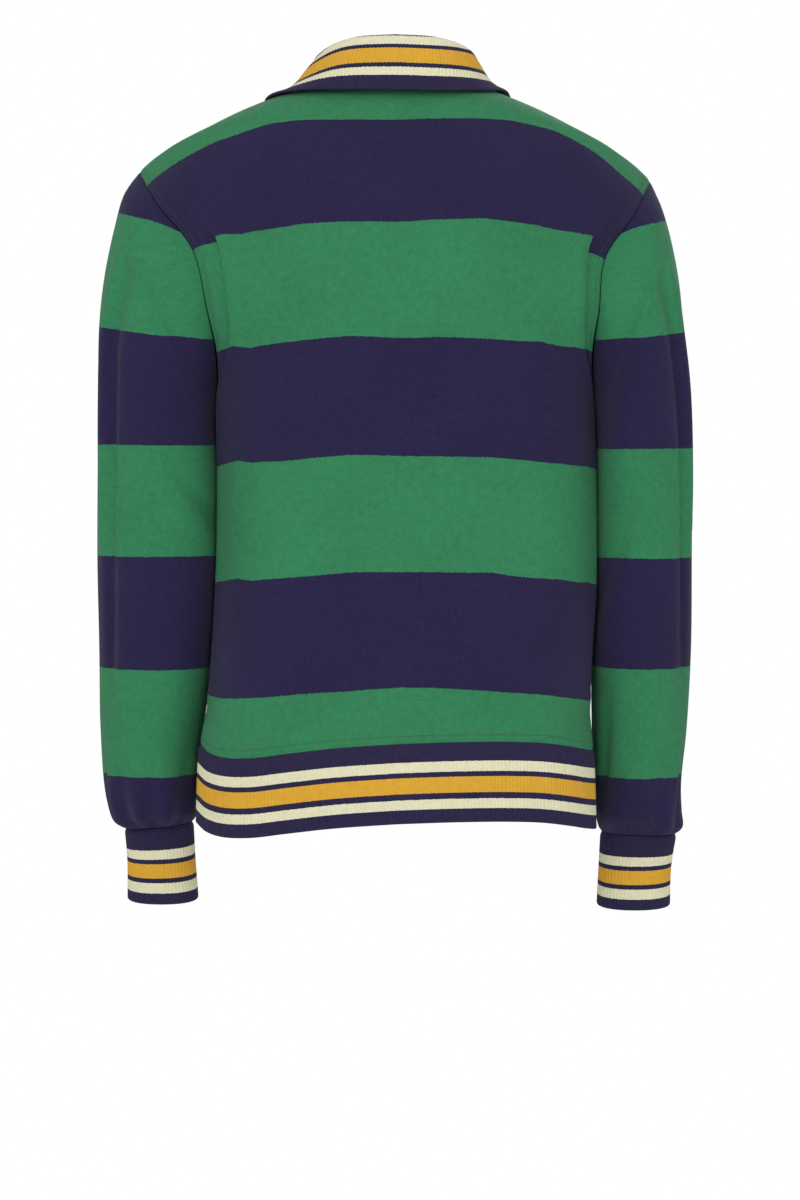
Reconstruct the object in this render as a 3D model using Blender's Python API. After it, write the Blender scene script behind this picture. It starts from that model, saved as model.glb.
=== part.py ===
"""Long-sleeved hooped polo shirt in its worn, filled-out shape, with no wearer.

Metres, +Z up. The wearer faces -Y, and the wearer's left is +X. The origin is in the middle of the
neck opening, level with the high points of the shoulders, where the wearer carries the shirt.
Every piece of cloth is a thin wall whose outer points are worked out from the tables of sections
below, and neighbouring pieces stand SEAM_GAP apart along the line where they are sewn together.
"""

import math

import bmesh
import bpy
import numpy as np

# Cloth and knitting
CLOTH = 0.0018  # thickness of the hooped jersey
RIB_CLOTH = 0.0019  # thickness of the ribbed knitting in its valleys
RIB_LIFT = 0.0006  # how far a rib stands above its valleys
RIB_PITCH = 0.0034  # from one rib to the next
SEAM_GAP = 0.0004
RIM_ORDER = np.array([0.37, 0.73, 1.0])  # lets two rims that meet cut their faces along the same diagonals
SEAM_REACH = 1.5  # where three pieces meet, each draws back at most this many times as far
MEETING_GRID = 1e-5  # rim points that fall in one cell of this grid meet at a seam
GRID_SHIFT = 0.37  # moves that grid off round numbers, so that no shared point lies between two cells

# Placket and buttons
PLACKET_WIDTH = 0.034
PLACKET_LENGTH = 0.150
PLACKET_LIFT = 0.0006  # how far the placket stands proud of the front
PLACKET_CLOTH = 0.0016
BUTTON_RADIUS = 0.0057
BUTTON_THICKNESS = 0.0026
BUTTON_RIM = 0.0011
BUTTON_WELL = 0.55  # height of a button's middle as a share of its thickness
BUTTON_SIDES = 16
BUTTON_HOLE_RADIUS = 0.0008
BUTTON_HOLE_OFFSET = 0.0014
BUTTON_CLEARANCE = 0.0003
BUTTON_PLACES = (0.016, 0.070, 0.124)  # distance of each button below the neck seam

# How closely the solids follow the cloth
HALF_COLUMNS = 11  # columns from the middle of a panel to its side
EVEN_SHARE = 0.55  # how evenly those columns are spread; the rest of them lie closer to the side
BODY_ROWS = 6  # rows from the hem seam to the underarm
ARMHOLE_ROWS = 12
SHOULDER_ROWS = 4
SLEEVE_ROWS = (0, 0.6, 1.3, 2.1, 3, 4, 5, 6, 7, 7.7, 8.4, 9, 9.5, 10, 10.5, 11, 11.5, 12, 12.5, 13)
FINE_SHARE = 240  # points used to measure a curve before it is divided evenly

# The shirt hangs a little lower on the wearer's right, and its hem sags on the left.
SHOULDER_DROP = 0.0065
DROP_FROM = 0.060  # the drop grows from this far out to the shoulder's tip
HEM_SAG_LEFT = 0.011
HEM_SAG_RIGHT = 0.002
SAG_FADES_AT = 0.100  # height above the hem seam where the sag has gone
DROP_STARTS, DROP_RUN = 0.30, 0.20  # wefts over which a level comes to share the low shoulder's drop
LAST_LOW_STEP = 5.0  # the sleeve's step at which that drop has gone

# The sleeves
ROUND_SLEEVE = 0.38  # distance round a sleeve, which turns u into a length
STEP_LENGTH = 0.05  # usual distance between two steps
BALANCED_STEP = 4.0  # from this step on, a sleeve's columns are spread evenly round it
LEAN_REACH = 0.3  # steps to each side over which the slope of the arm is measured
LEAST_FALL = 0.01  # the arm falls at least this far over that stretch

# The back's folds
BACK_REACH = 0.21  # distance from the middle of the back to its edge, which turns u into a length
FOLD_FADE = 0.06  # share of the back's width over which a fold fades out at the seam


def table(columns, rows):
    """A short table as one array for each named column."""
    return dict(zip(columns.split(), np.array(rows, float).T, strict=True))


# One row for each level of the body. weft is the height on the cloth above the hem seam. The edge is
# the side seam, then the armhole from the underarm (0.310) to the shoulder's tip (0.566), then the
# shoulder seam up to the neck. spine and chest are the middles of the back and of the front. base is
# how far beyond the shoulder line the curve of a level is centred, which lets it meet its edge aslant.
UNDERARM, TIP, NECK = 0.310, 0.566, 0.604
TORSO = table(
    "weft    edge_z  back_x  back_y  front_x front_y spine_y spine_z chest_y chest_z  square sway     bow  base",
    [
        (-0.070, -0.6570, 0.1795, 0.000, 0.1795, 0.000, 0.1120, -0.6490, -0.1080, -0.6590, 2.5, -0.0010, 2.0, 0.000),
        (0.0000, -0.5880, 0.1765, 0.000, 0.1765, 0.000, 0.1125, -0.5815, -0.1095, -0.5910, 2.6, -0.0015, 2.0, 0.000),
        (0.0500, -0.5430, 0.1700, 0.000, 0.1700, 0.000, 0.1120, -0.5320, -0.1130, -0.5420, 2.7, -0.0040, 2.0, 0.000),
        (0.1500, -0.4460, 0.1650, 0.000, 0.1650, 0.000, 0.1050, -0.4330, -0.1130, -0.4420, 2.8, -0.0080, 2.0, 0.000),
        (0.2520, -0.3440, 0.1645, 0.000, 0.1645, 0.000, 0.1080, -0.3315, -0.1190, -0.3400, 2.8, -0.0085, 2.0, 0.000),
        (0.3100, -0.2865, 0.1670, 0.000, 0.1670, 0.000, 0.1130, -0.2735, -0.1230, -0.2820, 2.7, -0.0085, 2.0, 0.000),
        (0.3540, -0.2450, 0.1675, 0.042, 0.1655, -0.045, 0.1165, -0.2290, -0.1245, -0.2410, 2.6, -0.0085, 2.2, 0.000),
        (0.4000, -0.2020, 0.1735, 0.062, 0.1670, -0.063, 0.1185, -0.1840, -0.1240, -0.2000, 2.5, -0.0070, 2.4, 0.002),
        (0.4570, -0.1487, 0.1830, 0.061, 0.1740, -0.061, 0.1170, -0.1280, -0.1190, -0.1580, 2.4, -0.0035, 2.6, 0.008),
        (0.5100, -0.1090, 0.2115, 0.047, 0.2060, -0.046, 0.1070, -0.0755, -0.1110, -0.1290, 2.3, -0.0010, 2.8, 0.014),
        (0.5450, -0.0850, 0.2245, 0.027, 0.2220, -0.027, 0.0935, -0.0430, -0.1055, -0.1140, 2.3, 0.0000, 2.8, 0.022),
        (0.5600, -0.0760, 0.2285, 0.011, 0.2280, -0.011, 0.0875, -0.0315, -0.1030, -0.1080, 2.2, 0.0000, 2.8, 0.026),
        (0.5660, -0.0735, 0.2295, 0.000, 0.2295, 0.000, 0.0850, -0.0275, -0.1020, -0.1060, 2.2, 0.0000, 2.8, 0.028),
        (0.5760, -0.0475, 0.1920, 0.000, 0.1920, 0.000, 0.0790, -0.0185, -0.0990, -0.1005, 2.2, 0.0000, 2.8, 0.026),
        (0.5860, -0.0265, 0.1510, 0.000, 0.1510, 0.000, 0.0730, -0.0110, -0.0970, -0.0955, 2.2, 0.0000, 2.6, 0.018),
        (0.5960, -0.0090, 0.1120, 0.000, 0.1120, 0.000, 0.0670, -0.0040, -0.0940, -0.0900, 2.1, 0.0000, 2.2, 0.012),
        (0.6040, 0.0020, 0.0790, 0.000, 0.0790, 0.000, 0.0620, 0.0025, -0.0900, -0.0850, 2.1, 0.0000, 2.0, 0.006),
    ],
)

# One row for each ring of the sleeves below the armhole: the outermost and innermost points, the ring's
# middle and half depth from front to back, and how square it is. The last row is the cuff seam.
SLEEVE = table(
    "step out_z   out_left out_right in_z  in_left in_right mid_y  half_y square",
    [
        (1.0, -0.0930, 0.2445, 0.2390, -0.2960, 0.1625, 0.1800, 0.000, 0.0680, 2.1),
        (2.0, -0.1230, 0.2530, 0.2475, -0.3050, 0.1640, 0.1820, -0.001, 0.0720, 2.1),
        (3.0, -0.1660, 0.2610, 0.2545, -0.3140, 0.1645, 0.1825, -0.002, 0.0750, 2.1),
        (4.0, -0.2120, 0.2660, 0.2585, -0.3250, 0.1645, 0.1825, -0.003, 0.0750, 2.1),
        (5.0, -0.2700, 0.2670, 0.2635, -0.3450, 0.1640, 0.1825, -0.003, 0.0735, 2.1),
        (6.0, -0.3400, 0.2675, 0.2660, -0.3780, 0.1635, 0.1825, -0.003, 0.0700, 2.1),
        (7.0, -0.4200, 0.2680, 0.2660, -0.4320, 0.1620, 0.1820, -0.004, 0.0650, 2.1),
        (8.0, -0.5000, 0.2670, 0.2660, -0.5030, 0.1670, 0.1820, -0.013, 0.0600, 2.1),
        (9.0, -0.5700, 0.2660, 0.2630, -0.5700, 0.1770, 0.1830, -0.026, 0.0570, 2.1),
        (10.0, -0.6200, 0.2625, 0.2585, -0.6200, 0.1825, 0.1850, -0.036, 0.0550, 2.1),
        (11.0, -0.6480, 0.2570, 0.2575, -0.6480, 0.1835, 0.1855, -0.041, 0.0500, 2.2),
        (12.0, -0.6610, 0.2490, 0.2540, -0.6610, 0.1840, 0.1860, -0.043, 0.0400, 2.2),
        (13.0, -0.6690, 0.2430, 0.2485, -0.6690, 0.1850, 0.1870, -0.045, 0.0270, 2.2),
    ],
)

# The cuffs, from the cuff seam down to the wrist's opening.
CUFF = table(
    "step out_z   out_left out_right in_z  in_left in_right mid_y  half_y square",
    [
        (0.0, -0.6690, 0.2430, 0.2485, -0.6690, 0.1850, 0.1870, -0.045, 0.0270, 2.2),
        (1.0, -0.7010, 0.2410, 0.2465, -0.7010, 0.1830, 0.1850, -0.050, 0.0275, 2.2),
        (2.0, -0.7340, 0.2405, 0.2460, -0.7340, 0.1800, 0.1830, -0.055, 0.0280, 2.2),
    ],
)

# The collar from the middle of the back (0) to its front end (1): the crown of its fold, the outer edge
# of its leaf. Its other edge is the neck seam.
COLLAR = table(
    "share fold_x  fold_y   fold_z  edge_x  edge_y   edge_z",
    [
        (0.00, 0.0000, 0.0655, 0.0420, 0.0000, 0.0850, -0.0085),
        (0.16, 0.0340, 0.0600, 0.0405, 0.0430, 0.0800, -0.0080),
        (0.32, 0.0620, 0.0400, 0.0355, 0.0840, 0.0560, -0.0060),
        (0.47, 0.0765, 0.0060, 0.0270, 0.1110, 0.0080, -0.0050),
        (0.64, 0.0730, -0.0380, 0.0080, 0.1120, -0.0500, -0.0230),
        (0.82, 0.0480, -0.0740, -0.0300, 0.0860, -0.0960, -0.0620),
        (1.00, 0.0040, -0.0960, -0.0640, 0.0420, -0.1180, -0.1060),
    ],
)
LEAF_SWAY = 0.0060  # how far the leaf's edge lies over to the wearer's left
LEAF_DROP = 0.0026  # how much lower the leaf lies on the wearer's right
LEAF_TURN = 0.4  # share of the collar from the middle of the back to the sides of the neck
SWAY_ENDS, SWAY_RUN = 1.1, 0.3  # the sway fades over this run towards this share
FOLD_RADIUS = 0.0026  # under the collar's fold
COLLAR_GAP = 0.0016  # between the ends of the collar's neck seam, half of it on each side

# The largest folds. u runs from the middle of a panel (0) to its side (1), or round a sleeve from its
# outermost line (0) over the back (0.25) to its inside (0.5) and over the front back to 1; v is the
# weft on the body and the step on a sleeve. A fold runs from one end to the other; depth is outwards.
BODY_FOLDS = table(
    "side  u0   v0     u1    v1    width  depth",
    [
        (1, 0.78, 0.460, 0.79, 0.350, 0.020, 0.0045),
        (1, 0.95, 0.450, 0.93, 0.360, 0.016, -0.0035),
        (-1, 0.80, 0.460, 0.80, 0.350, 0.020, 0.0035),
        (-1, 0.96, 0.450, 0.94, 0.360, 0.016, -0.0030),
    ],
)
SLEEVE_FOLDS = table(
    "side  u0   v0     u1    v1    width  depth",
    [
        (1, 0.105, 2.50, 0.125, 8.20, 0.018, -0.0045),
        (1, 0.300, 5.60, 0.420, 6.20, 0.016, -0.0040),
        (1, 0.060, 9.20, 0.090, 12.0, 0.015, -0.0045),
        (1, 0.165, 9.40, 0.180, 12.0, 0.016, 0.0040),
        (1, 0.255, 9.60, 0.245, 12.0, 0.014, -0.0035),
        (-1, 0.110, 2.60, 0.120, 8.00, 0.017, -0.0040),
        (-1, 0.300, 6.60, 0.400, 7.10, 0.015, -0.0035),
        (-1, 0.080, 8.80, 0.100, 11.6, 0.014, -0.0035),
        (-1, 0.720, 9.20, 0.700, 12.0, 0.016, -0.0040),
    ],
)


def spline(knots, values, at):
    """A smooth curve through the values at the knots: cubic pieces, each slope from both neighbours."""
    knots = np.asarray(knots, float)
    values = np.asarray(values, float)
    at = np.asarray(at, float)
    run = np.diff(knots)
    wide = run.reshape(-1, *[1] * (values.ndim - 1))
    rise = np.diff(values, axis=0) / wide
    slopes = np.empty_like(values)
    slopes[0], slopes[-1] = rise[0], rise[-1]
    slopes[1:-1] = (rise[:-1] * wide[1:] + rise[1:] * wide[:-1]) / (wide[1:] + wide[:-1])
    piece = np.clip(np.searchsorted(knots, at, side="right") - 1, 0, len(run) - 1)
    t = ((at - knots[piece]) / run[piece]).reshape(at.shape + (1,) * (values.ndim - 1))
    step = run[piece].reshape(t.shape)
    return (
        (2 * t**3 - 3 * t**2 + 1) * values[piece]
        + (t**3 - 2 * t**2 + t) * step * slopes[piece]
        + (3 * t**2 - 2 * t**3) * values[piece + 1]
        + (t**3 - t**2) * step * slopes[piece + 1]
    )


def read(sections, knots, at):
    """Every column of a table at one place between its rows."""
    return {name: float(spline(sections[knots], column, at)) for name, column in sections.items()}


def smooth_step(x):
    x = np.clip(x, 0, 1)
    return x * x * (3 - 2 * x)


def lengths_along(points):
    return np.concatenate([[0], np.cumsum(np.linalg.norm(np.diff(points, axis=0), axis=1))])


def divide(points, shares):
    """Points at these shares of a polyline's length."""
    along = lengths_along(points)
    places = np.asarray(shares) * along[-1]
    return np.stack([np.interp(places, along, points[:, k]) for k in range(points.shape[1])], axis=1)


def half_row(weft, side, front, shares):
    """Points of one level of the body, from the middle of the back or front (0) to its edge (1).

    In plan it is a stretch of superellipse that starts at the middle line and passes through the edge.
    """
    at = read(TORSO, "weft", weft)
    edge_x, edge_y = (at["front_x"], at["front_y"]) if front else (at["back_x"], at["back_y"])
    if not UNDERARM < weft < TIP:
        edge_x, edge_y = at["back_x"], 0.0
    middle_y, middle_z = (at["chest_y"], at["chest_z"]) if front else (at["spine_y"], at["spine_z"])
    square = at["square"]
    base = at["base"] if front else -at["base"]
    depth = middle_y - base
    ratio = min((edge_y - base) / depth, 0.999)
    reach = edge_x / (1 - ratio**square) ** (1 / square)
    turn = np.linspace(math.pi / 2, math.asin(ratio ** (square / 2)), FINE_SHARE)
    plan = np.stack(
        [reach * np.abs(np.cos(turn)) ** (2 / square), base + depth * np.abs(np.sin(turn)) ** (2 / square)],
        axis=1,
    )
    plan[0, 0] = 0.0
    plan[-1] = edge_x, edge_y
    plan = divide(plan, shares)
    shares = np.asarray(shares)
    z = middle_z + (at["edge_z"] - middle_z) * shares ** at["bow"]
    sag = HEM_SAG_LEFT if side > 0 else HEM_SAG_RIGHT
    z = z - sag * np.sin(math.pi * shares) ** 2 * max(0.0, 1 - max(weft, 0) / SAG_FADES_AT)
    x = side * plan[:, 0]
    if side < 0:
        z = z - SHOULDER_DROP * smooth_step((plan[:, 0] - DROP_FROM) / DROP_FROM) * shoulder_share(weft)
    return np.stack([x + at["sway"], plan[:, 1], z], axis=1)


def shoulder_share(weft):
    """How much of the low shoulder's drop a level takes: all at the top, none from the chest down."""
    return float(smooth_step((weft - DROP_STARTS) / DROP_RUN))


def ring_of_arm(sections, at, side, shares):
    """One ring of a sleeve or cuff: shares run from its outermost point over the back and round."""
    row = read(sections, "step", at)
    name = "left" if side > 0 else "right"
    outer = np.array([side * row["out_" + name], row["mid_y"], row["out_z"]])
    inner = np.array([side * row["in_" + name], row["mid_y"], row["in_z"]])
    if sections is SLEEVE and side < 0:
        outer[2] -= SHOULDER_DROP * float(smooth_step((LAST_LOW_STEP - at) / (LAST_LOW_STEP - 1)))
    turn = np.linspace(0, 2 * math.pi, 2 * FINE_SHARE)
    power = 2 / row["square"]
    across = np.sign(np.cos(turn)) * np.abs(np.cos(turn)) ** power
    back = np.sign(np.sin(turn)) * np.abs(np.sin(turn)) ** power
    ring = (outer + inner) / 2 + across[:, None] * (outer - inner) / 2
    ring[:, 1] += back * row["half_y"]
    ring[:, 2] -= back * row["half_y"] * lean(sections, at)
    return divide(ring, shares)


def lean(sections, at):
    """How steeply the arm slopes forward there, so that its rings lie square to it."""
    low, high = (read(sections, "step", at + d) for d in (LEAN_REACH, -LEAN_REACH))
    return (high["mid_y"] - low["mid_y"]) / max(high["in_z"] - low["in_z"], LEAST_FALL)


def along_fold(points, fold_ends, width):
    """1 on the line between a fold's ends, falling softly to 0 away from it and past its ends."""
    start, end = fold_ends
    way = end - start
    share = np.clip(((points - start) @ way) / max(float(way @ way), 1e-12), 0, 1)
    away = np.linalg.norm(points - start - share[..., None] * way, axis=-1)
    return np.exp(-((away / width) ** 2)) * (0.35 + 0.65 * np.sin(math.pi * np.clip(share, 0.02, 0.98)) ** 0.5)


def normals_of(points, closed):
    """Outward directions on a grid of rows and columns, whose columns may close into a ring."""
    if closed:
        across = np.roll(points, -1, axis=1) - np.roll(points, 1, axis=1)
    else:
        across = np.gradient(points, axis=1)
    up = np.gradient(points, axis=0)
    normals = np.cross(across, up)
    return normals / np.maximum(np.linalg.norm(normals, axis=2, keepdims=True), 1e-12)


def folded(points, coordinates, folds, side, closed, scale):
    """The grid with the folds of one side pushed in or out along its normals."""
    normals = normals_of(points, closed)
    push = np.zeros(points.shape[:2])
    for k in np.flatnonzero(folds["side"] == side):
        ends = [np.array([folds["u" + e][k], folds["v" + e][k]]) * scale for e in "01"]
        push += folds["depth"][k] * along_fold(coordinates * scale, ends, folds["width"][k])
    return points + push[..., None] * normals


def column_shares():
    """Shares of a panel's half width, closer together towards its edge, where the cloth bends."""
    even = np.linspace(0, 1, HALF_COLUMNS + 1)
    return EVEN_SHARE * even + (1 - EVEN_SHARE) * np.sin(even * math.pi / 2)


def torso_wefts():
    """The heights of the rows of both body panels, from the hem seam to the neck."""
    return np.concatenate(
        [
            np.linspace(0, UNDERARM, BODY_ROWS, endpoint=False),
            np.linspace(UNDERARM, TIP, ARMHOLE_ROWS, endpoint=False),
            np.linspace(TIP, NECK, SHOULDER_ROWS + 1),
        ]
    )


def back_folds(points, side, shares, wefts):
    """The back's soft pleats beside the armholes, faded to nothing at the seams."""
    u, v = np.meshgrid(shares, wefts)
    held = smooth_step((1 - shares) / FOLD_FADE)[None, :, None]
    moved = folded(points, np.stack([u, v], axis=2), BODY_FOLDS, side, False, np.array([BACK_REACH, 1.0]))
    return points + (moved - points) * held


def armhole_ring(back, front, rows):
    """The closed line of an armhole: from the shoulder's tip down the back and up the front."""
    down_back = back[rows, -1][::-1]
    up_front = front[rows, -1][1:-1]
    return np.concatenate([down_back, up_front])


def sleeve_grid(side, ring):
    """The sleeve's rings, the first of which is the armhole. Every column runs from armhole to cuff."""
    closed_ring = np.concatenate([ring, ring[:1]])
    own = lengths_along(closed_ring) / lengths_along(closed_ring)[-1]
    half = len(ring) // 2
    even = np.linspace(0, 1, len(ring) + 1)
    balanced = np.where(
        np.arange(len(ring) + 1) <= half,
        own / own[half] * 0.5,
        0.5 + (own - own[half]) / (1 - own[half]) * 0.5,
    )
    steps = SLEEVE["step"]
    knots = [ring]
    for step in steps:
        mix = float(smooth_step(step / BALANCED_STEP))
        knots.append(ring_of_arm(SLEEVE, step, side, (mix * even + (1 - mix) * balanced)[:-1]))
    places = np.concatenate([[0], steps])
    dense = np.array(SLEEVE_ROWS, float)
    grid = spline(places, np.array(knots), dense)
    if side > 0:
        return grid, dense
    return grid[:, ::-1], dense


def sleeve_folds(grid, steps, side):
    """The creases of a sleeve, faded to nothing at the armhole and at the cuff seam."""
    count = grid.shape[1]
    turn = np.arange(count) / count
    if side < 0:
        turn = turn[::-1]
    u, v = np.meshgrid(turn, steps)
    moved = grid.copy()
    for lap in (-1, 0, 1):
        ring = np.stack([u + lap, v], axis=2)
        part = folded(grid, ring, SLEEVE_FOLDS, side, True, np.array([ROUND_SLEEVE, STEP_LENGTH]))
        moved += part - grid
    held = smooth_step(steps / 1.5) * smooth_step((steps[-1] - steps) / 1.0)
    return grid + (moved - grid) * held[:, None, None]


class Sheet:
    """One layer of cloth as a grid of points, before it gets its thickness.

    The grid's rows go up and its columns to the right as seen from outside, so its normals look out.
    """

    def __init__(self, name, grid, closed=False, slot=None):
        self.name = name
        self.rows, self.columns = grid.shape[:2]
        self.closed = closed
        self.points = grid.reshape(-1, 3).copy()
        self.faces = []
        for face in grid_faces(self.rows, self.columns, closed, slot):
            self.faces += self.halved(face)
        self.normals = self.point_normals()
        self.inwards = self.edge_directions()

    def halved(self, face):
        """A four-sided face as two triangles, cut along its shorter diagonal."""
        a, b, c, d = face
        p, q, r, s = (self.points[i] for i in face)
        if np.linalg.norm(r - p) < np.linalg.norm(s - q):
            return [(a, b, c), (a, c, d)]
        return [(a, b, d), (b, c, d)]

    def point_normals(self):
        normals = np.zeros_like(self.points)
        for face in self.faces:
            a, b, c = (self.points[i] for i in face)
            normals[list(face)] += np.cross(b - a, c - a)
        return normals / np.maximum(np.linalg.norm(normals, axis=1, keepdims=True), 1e-12)

    def rim_edges(self):
        """The edges that only one face has, each in that face's direction."""
        seen = {}
        for face in self.faces:
            for a, b in zip(face, face[1:] + face[:1], strict=True):
                seen[(a, b)] = True
        return [(a, b) for a, b in seen if (b, a) not in seen]

    def edge_directions(self):
        """For each point on the rim, the direction from the rim into the cloth."""
        ways = {}
        for a, b in self.rim_edges():
            run = self.points[b] - self.points[a]
            for i in (a, b):
                ways.setdefault(i, []).append(unit(np.cross(self.normals[i], run)))
        return {i: unit(sum(found)) for i, found in ways.items()}

    def grid(self, points):
        return points.reshape(self.rows, self.columns, 3)


def unit(vector):
    return vector / max(float(np.linalg.norm(vector)), 1e-12)


def grid_faces(rows, columns, closed=False, slot=None):
    """The faces of a grid, left out above a row in the columns of a slot (row, first column, end)."""
    faces = []
    for r in range(rows - 1):
        for c in range(columns if closed else columns - 1):
            if slot is not None and r >= slot[0] and slot[1] <= c < slot[2]:
                continue
            d = (c + 1) % columns
            faces.append((r * columns + c, r * columns + d, (r + 1) * columns + d, (r + 1) * columns + c))
    return faces


def part_seams(sheets):
    """Draws the rims that meet at a seam apart by SEAM_GAP, with matching normals along it.

    Where the outsides of two sheets turn towards each other, each keeps more of its own normal, and
    the two draw back from each other sideways.
    """
    meeting = {}
    for sheet in sheets:
        for i in sheet.inwards:
            key = tuple(np.floor(sheet.points[i] / MEETING_GRID + GRID_SHIFT).astype(int))
            meeting.setdefault(key, []).append((sheet, i))
    moves = []
    for members in meeting.values():
        if len({sheet.name for sheet, _ in members}) < 2:
            continue
        shared = unit(sum(sheet.normals[i] for sheet, i in members))
        for sheet, i in members:
            own, way = sheet.normals[i], sheet.inwards[i]
            normal, apart = np.zeros(3), np.zeros(3)
            for other, j in members:
                if other is not sheet:
                    pair = seam_pair(own, way, other.normals[j], other.inwards[j], shared)
                    normal, apart = normal + pair[0], apart + pair[1]
            length = max(1.0, float(np.linalg.norm(apart)) / SEAM_REACH)
            moves.append((sheet, i, unit(normal), apart / length))
    for sheet, i, normal, apart in moves:
        sheet.normals[i] = normal
        sheet.points[i] = sheet.points[i] + 0.5 * SEAM_GAP * apart


def seam_pair(own, way, other_normal, other_way, shared):
    """The normal that a sheet takes beside another at a seam, and the direction in which it draws back."""
    turned = (1 + float(way @ other_way)) / 2
    facing = float(other_way @ own + way @ other_normal) / 2
    hollow = float(smooth_step((turned - 0.10) / 0.35)) if facing > -0.05 else 0.0
    apart = unit(way - other_way - ((way - other_way) @ shared) * shared)
    return unit(hollow * own + (1 - hollow) * shared), unit((1 - hollow) * apart - hollow * own)


def material(name, colour, roughness):
    made = bpy.data.materials.new(name)
    made.use_nodes = True
    shader = made.node_tree.nodes["Principled BSDF"]
    shader.inputs["Base Color"].default_value = (*colour, 1.0)
    shader.inputs["Roughness"].default_value = roughness
    shader.inputs["Metallic"].default_value = 0.0
    return made


def add_object(name, points, faces, finish, sharp=40):
    """A mesh object of the points that its faces use."""
    used = sorted({int(i) for face in faces for i in face})
    new = dict(zip(used, range(len(used)), strict=True))
    mesh = bpy.data.meshes.new(name)
    corners = [tuple(map(float, points[i])) for i in used]
    mesh.from_pydata(corners, [], [tuple(new[int(i)] for i in face) for face in faces])
    mesh.materials.append(finish)
    mesh.shade_smooth()
    mesh.set_sharp_from_angle(angle=math.radians(sharp))
    made = bpy.data.objects.new(name, mesh)
    bpy.context.scene.collection.objects.link(made)
    return made


def add_wall(sheet, thickness, finish):
    """A closed wall: the sheet outside, the same sheet moved in by the thickness, and a rim between."""
    count = len(sheet.points)
    points = np.concatenate([sheet.points, sheet.points - thickness * sheet.normals])
    faces = list(sheet.faces)
    faces += [tuple(count + i for i in reversed(face)) for face in sheet.faces]
    for a, b in sheet.rim_edges():
        first, last = (sheet.points[i] @ RIM_ORDER for i in (a, b))
        if first < last:
            faces += [(b, a, b + count), (a, a + count, b + count)]
        else:
            faces += [(b, a, a + count), (b, a + count, b + count)]
    return add_object(sheet.name, points, faces, finish)


def rib_counts(sheet):
    """How many ribs stand in each column of a knitted band, from the width of its widest row."""
    grid = sheet.grid(sheet.points)
    loop = np.concatenate([grid, grid[:, :1]], axis=1) if sheet.closed else grid
    widths = np.linalg.norm(np.diff(loop, axis=1), axis=2).max(axis=0)
    return np.maximum(1, np.round(widths / RIB_PITCH)).astype(int)


def add_ribbed_wall(sheet, finish, ribs_inside=False):
    """A wall with one plain face, which is the sheet or lies inside it, and ribs raised on the other."""
    counts = rib_counts(sheet)
    cells = len(counts)
    cloth = sheet.grid(sheet.points)
    normal = sheet.grid(sheet.normals)
    plain = cloth if ribs_inside else cloth - RIB_CLOTH * normal
    valley = cloth - RIB_CLOTH * normal if ribs_inside else cloth
    out = -normal if ribs_inside else normal
    places, lifts = [], []
    for c, count in enumerate(counts):
        places += [c + k / (2 * count) for k in range(2 * count)]
        lifts += [RIB_LIFT * (k % 2) for k in range(2 * count)]
    if not sheet.closed:
        places.append(cells)
        lifts.append(0.0)
    left = np.minimum(np.array(places).astype(int), cells - 1)
    right = (left + 1) % sheet.columns
    t = (np.array(places) - left)[None, :, None]
    ribbed = valley[:, left] * (1 - t) + valley[:, right] * t
    ribbed += np.array(lifts)[None, :, None] * (out[:, left] * (1 - t) + out[:, right] * t)
    points = np.concatenate([plain.reshape(-1, 3), ribbed.reshape(-1, 3)])
    faces = ribbed_faces(sheet, counts, ribbed.shape[1])
    if ribs_inside:
        faces = [tuple(reversed(face)) for face in faces]
    return add_object(sheet.name, points, faces, finish, sharp=75)


def ribbed_faces(sheet, counts, many):
    """The faces of a ribbed wall whose plain face is numbered first."""
    rows, few = sheet.rows, sheet.columns
    start = rows * few
    faces = [tuple(start + i for i in face) for face in grid_faces(rows, many, sheet.closed)]
    faces += [tuple(reversed(face)) for face in grid_faces(rows, few, sheet.closed)]
    first = np.concatenate([[0], np.cumsum(2 * counts)])
    for r in (0, rows - 1):
        for c in range(len(counts)):
            ribs = [start + r * many + k % many for k in range(first[c], first[c + 1] + 1)]
            ring = [*ribs, r * few + (c + 1) % few, r * few + c]
            faces.append(tuple(ring) if r else tuple(reversed(ring)))
    if not sheet.closed:
        for r in range(rows - 1):
            low, high = start + r * many, start + (r + 1) * many
            faces.append((r * few, low, high, (r + 1) * few))
            faces.append((low + many - 1, (r + 1) * few - 1, (r + 2) * few - 1, high + many - 1))
    return faces


def front_shares(weft):
    """Shares for a row of the front's halves: the middle, the placket's edge, then on to the side."""
    row = half_row(weft, 1, True, np.linspace(0, 1, FINE_SHARE))
    edge = 0.5 * (PLACKET_WIDTH + SEAM_GAP) / lengths_along(row)[-1]
    return np.concatenate([[0], edge + (1 - edge) * column_shares()])


def body_halves(shares, wefts):
    """The four half panels, with their folds, as grids from the middle outwards."""
    halves = {}
    for side in (1, -1):
        back = np.array([half_row(weft, side, False, shares) for weft in wefts])
        halves["back", side] = back_folds(back, side, shares, wefts)
        halves["front", side] = np.array([half_row(w, side, True, front_shares(w)) for w in wefts])
    return halves


def whole(name, halves):
    """Both halves of a panel as one grid whose columns go to the right as seen from outside."""
    left, right = halves[name, 1], halves[name, -1]
    if name == "back":
        return np.concatenate([left[:, ::-1], right[:, 1:]], axis=1)
    return np.concatenate([right[:, ::-1], left[:, 1:]], axis=1)


def slot_row(wefts):
    """The row of the front at which the placket's slot ends."""
    heights = np.array([half_row(weft, 1, True, [0])[0][2] for weft in wefts])
    return int(np.argmin(np.abs(heights - (heights[-1] - PLACKET_LENGTH))))


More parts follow.
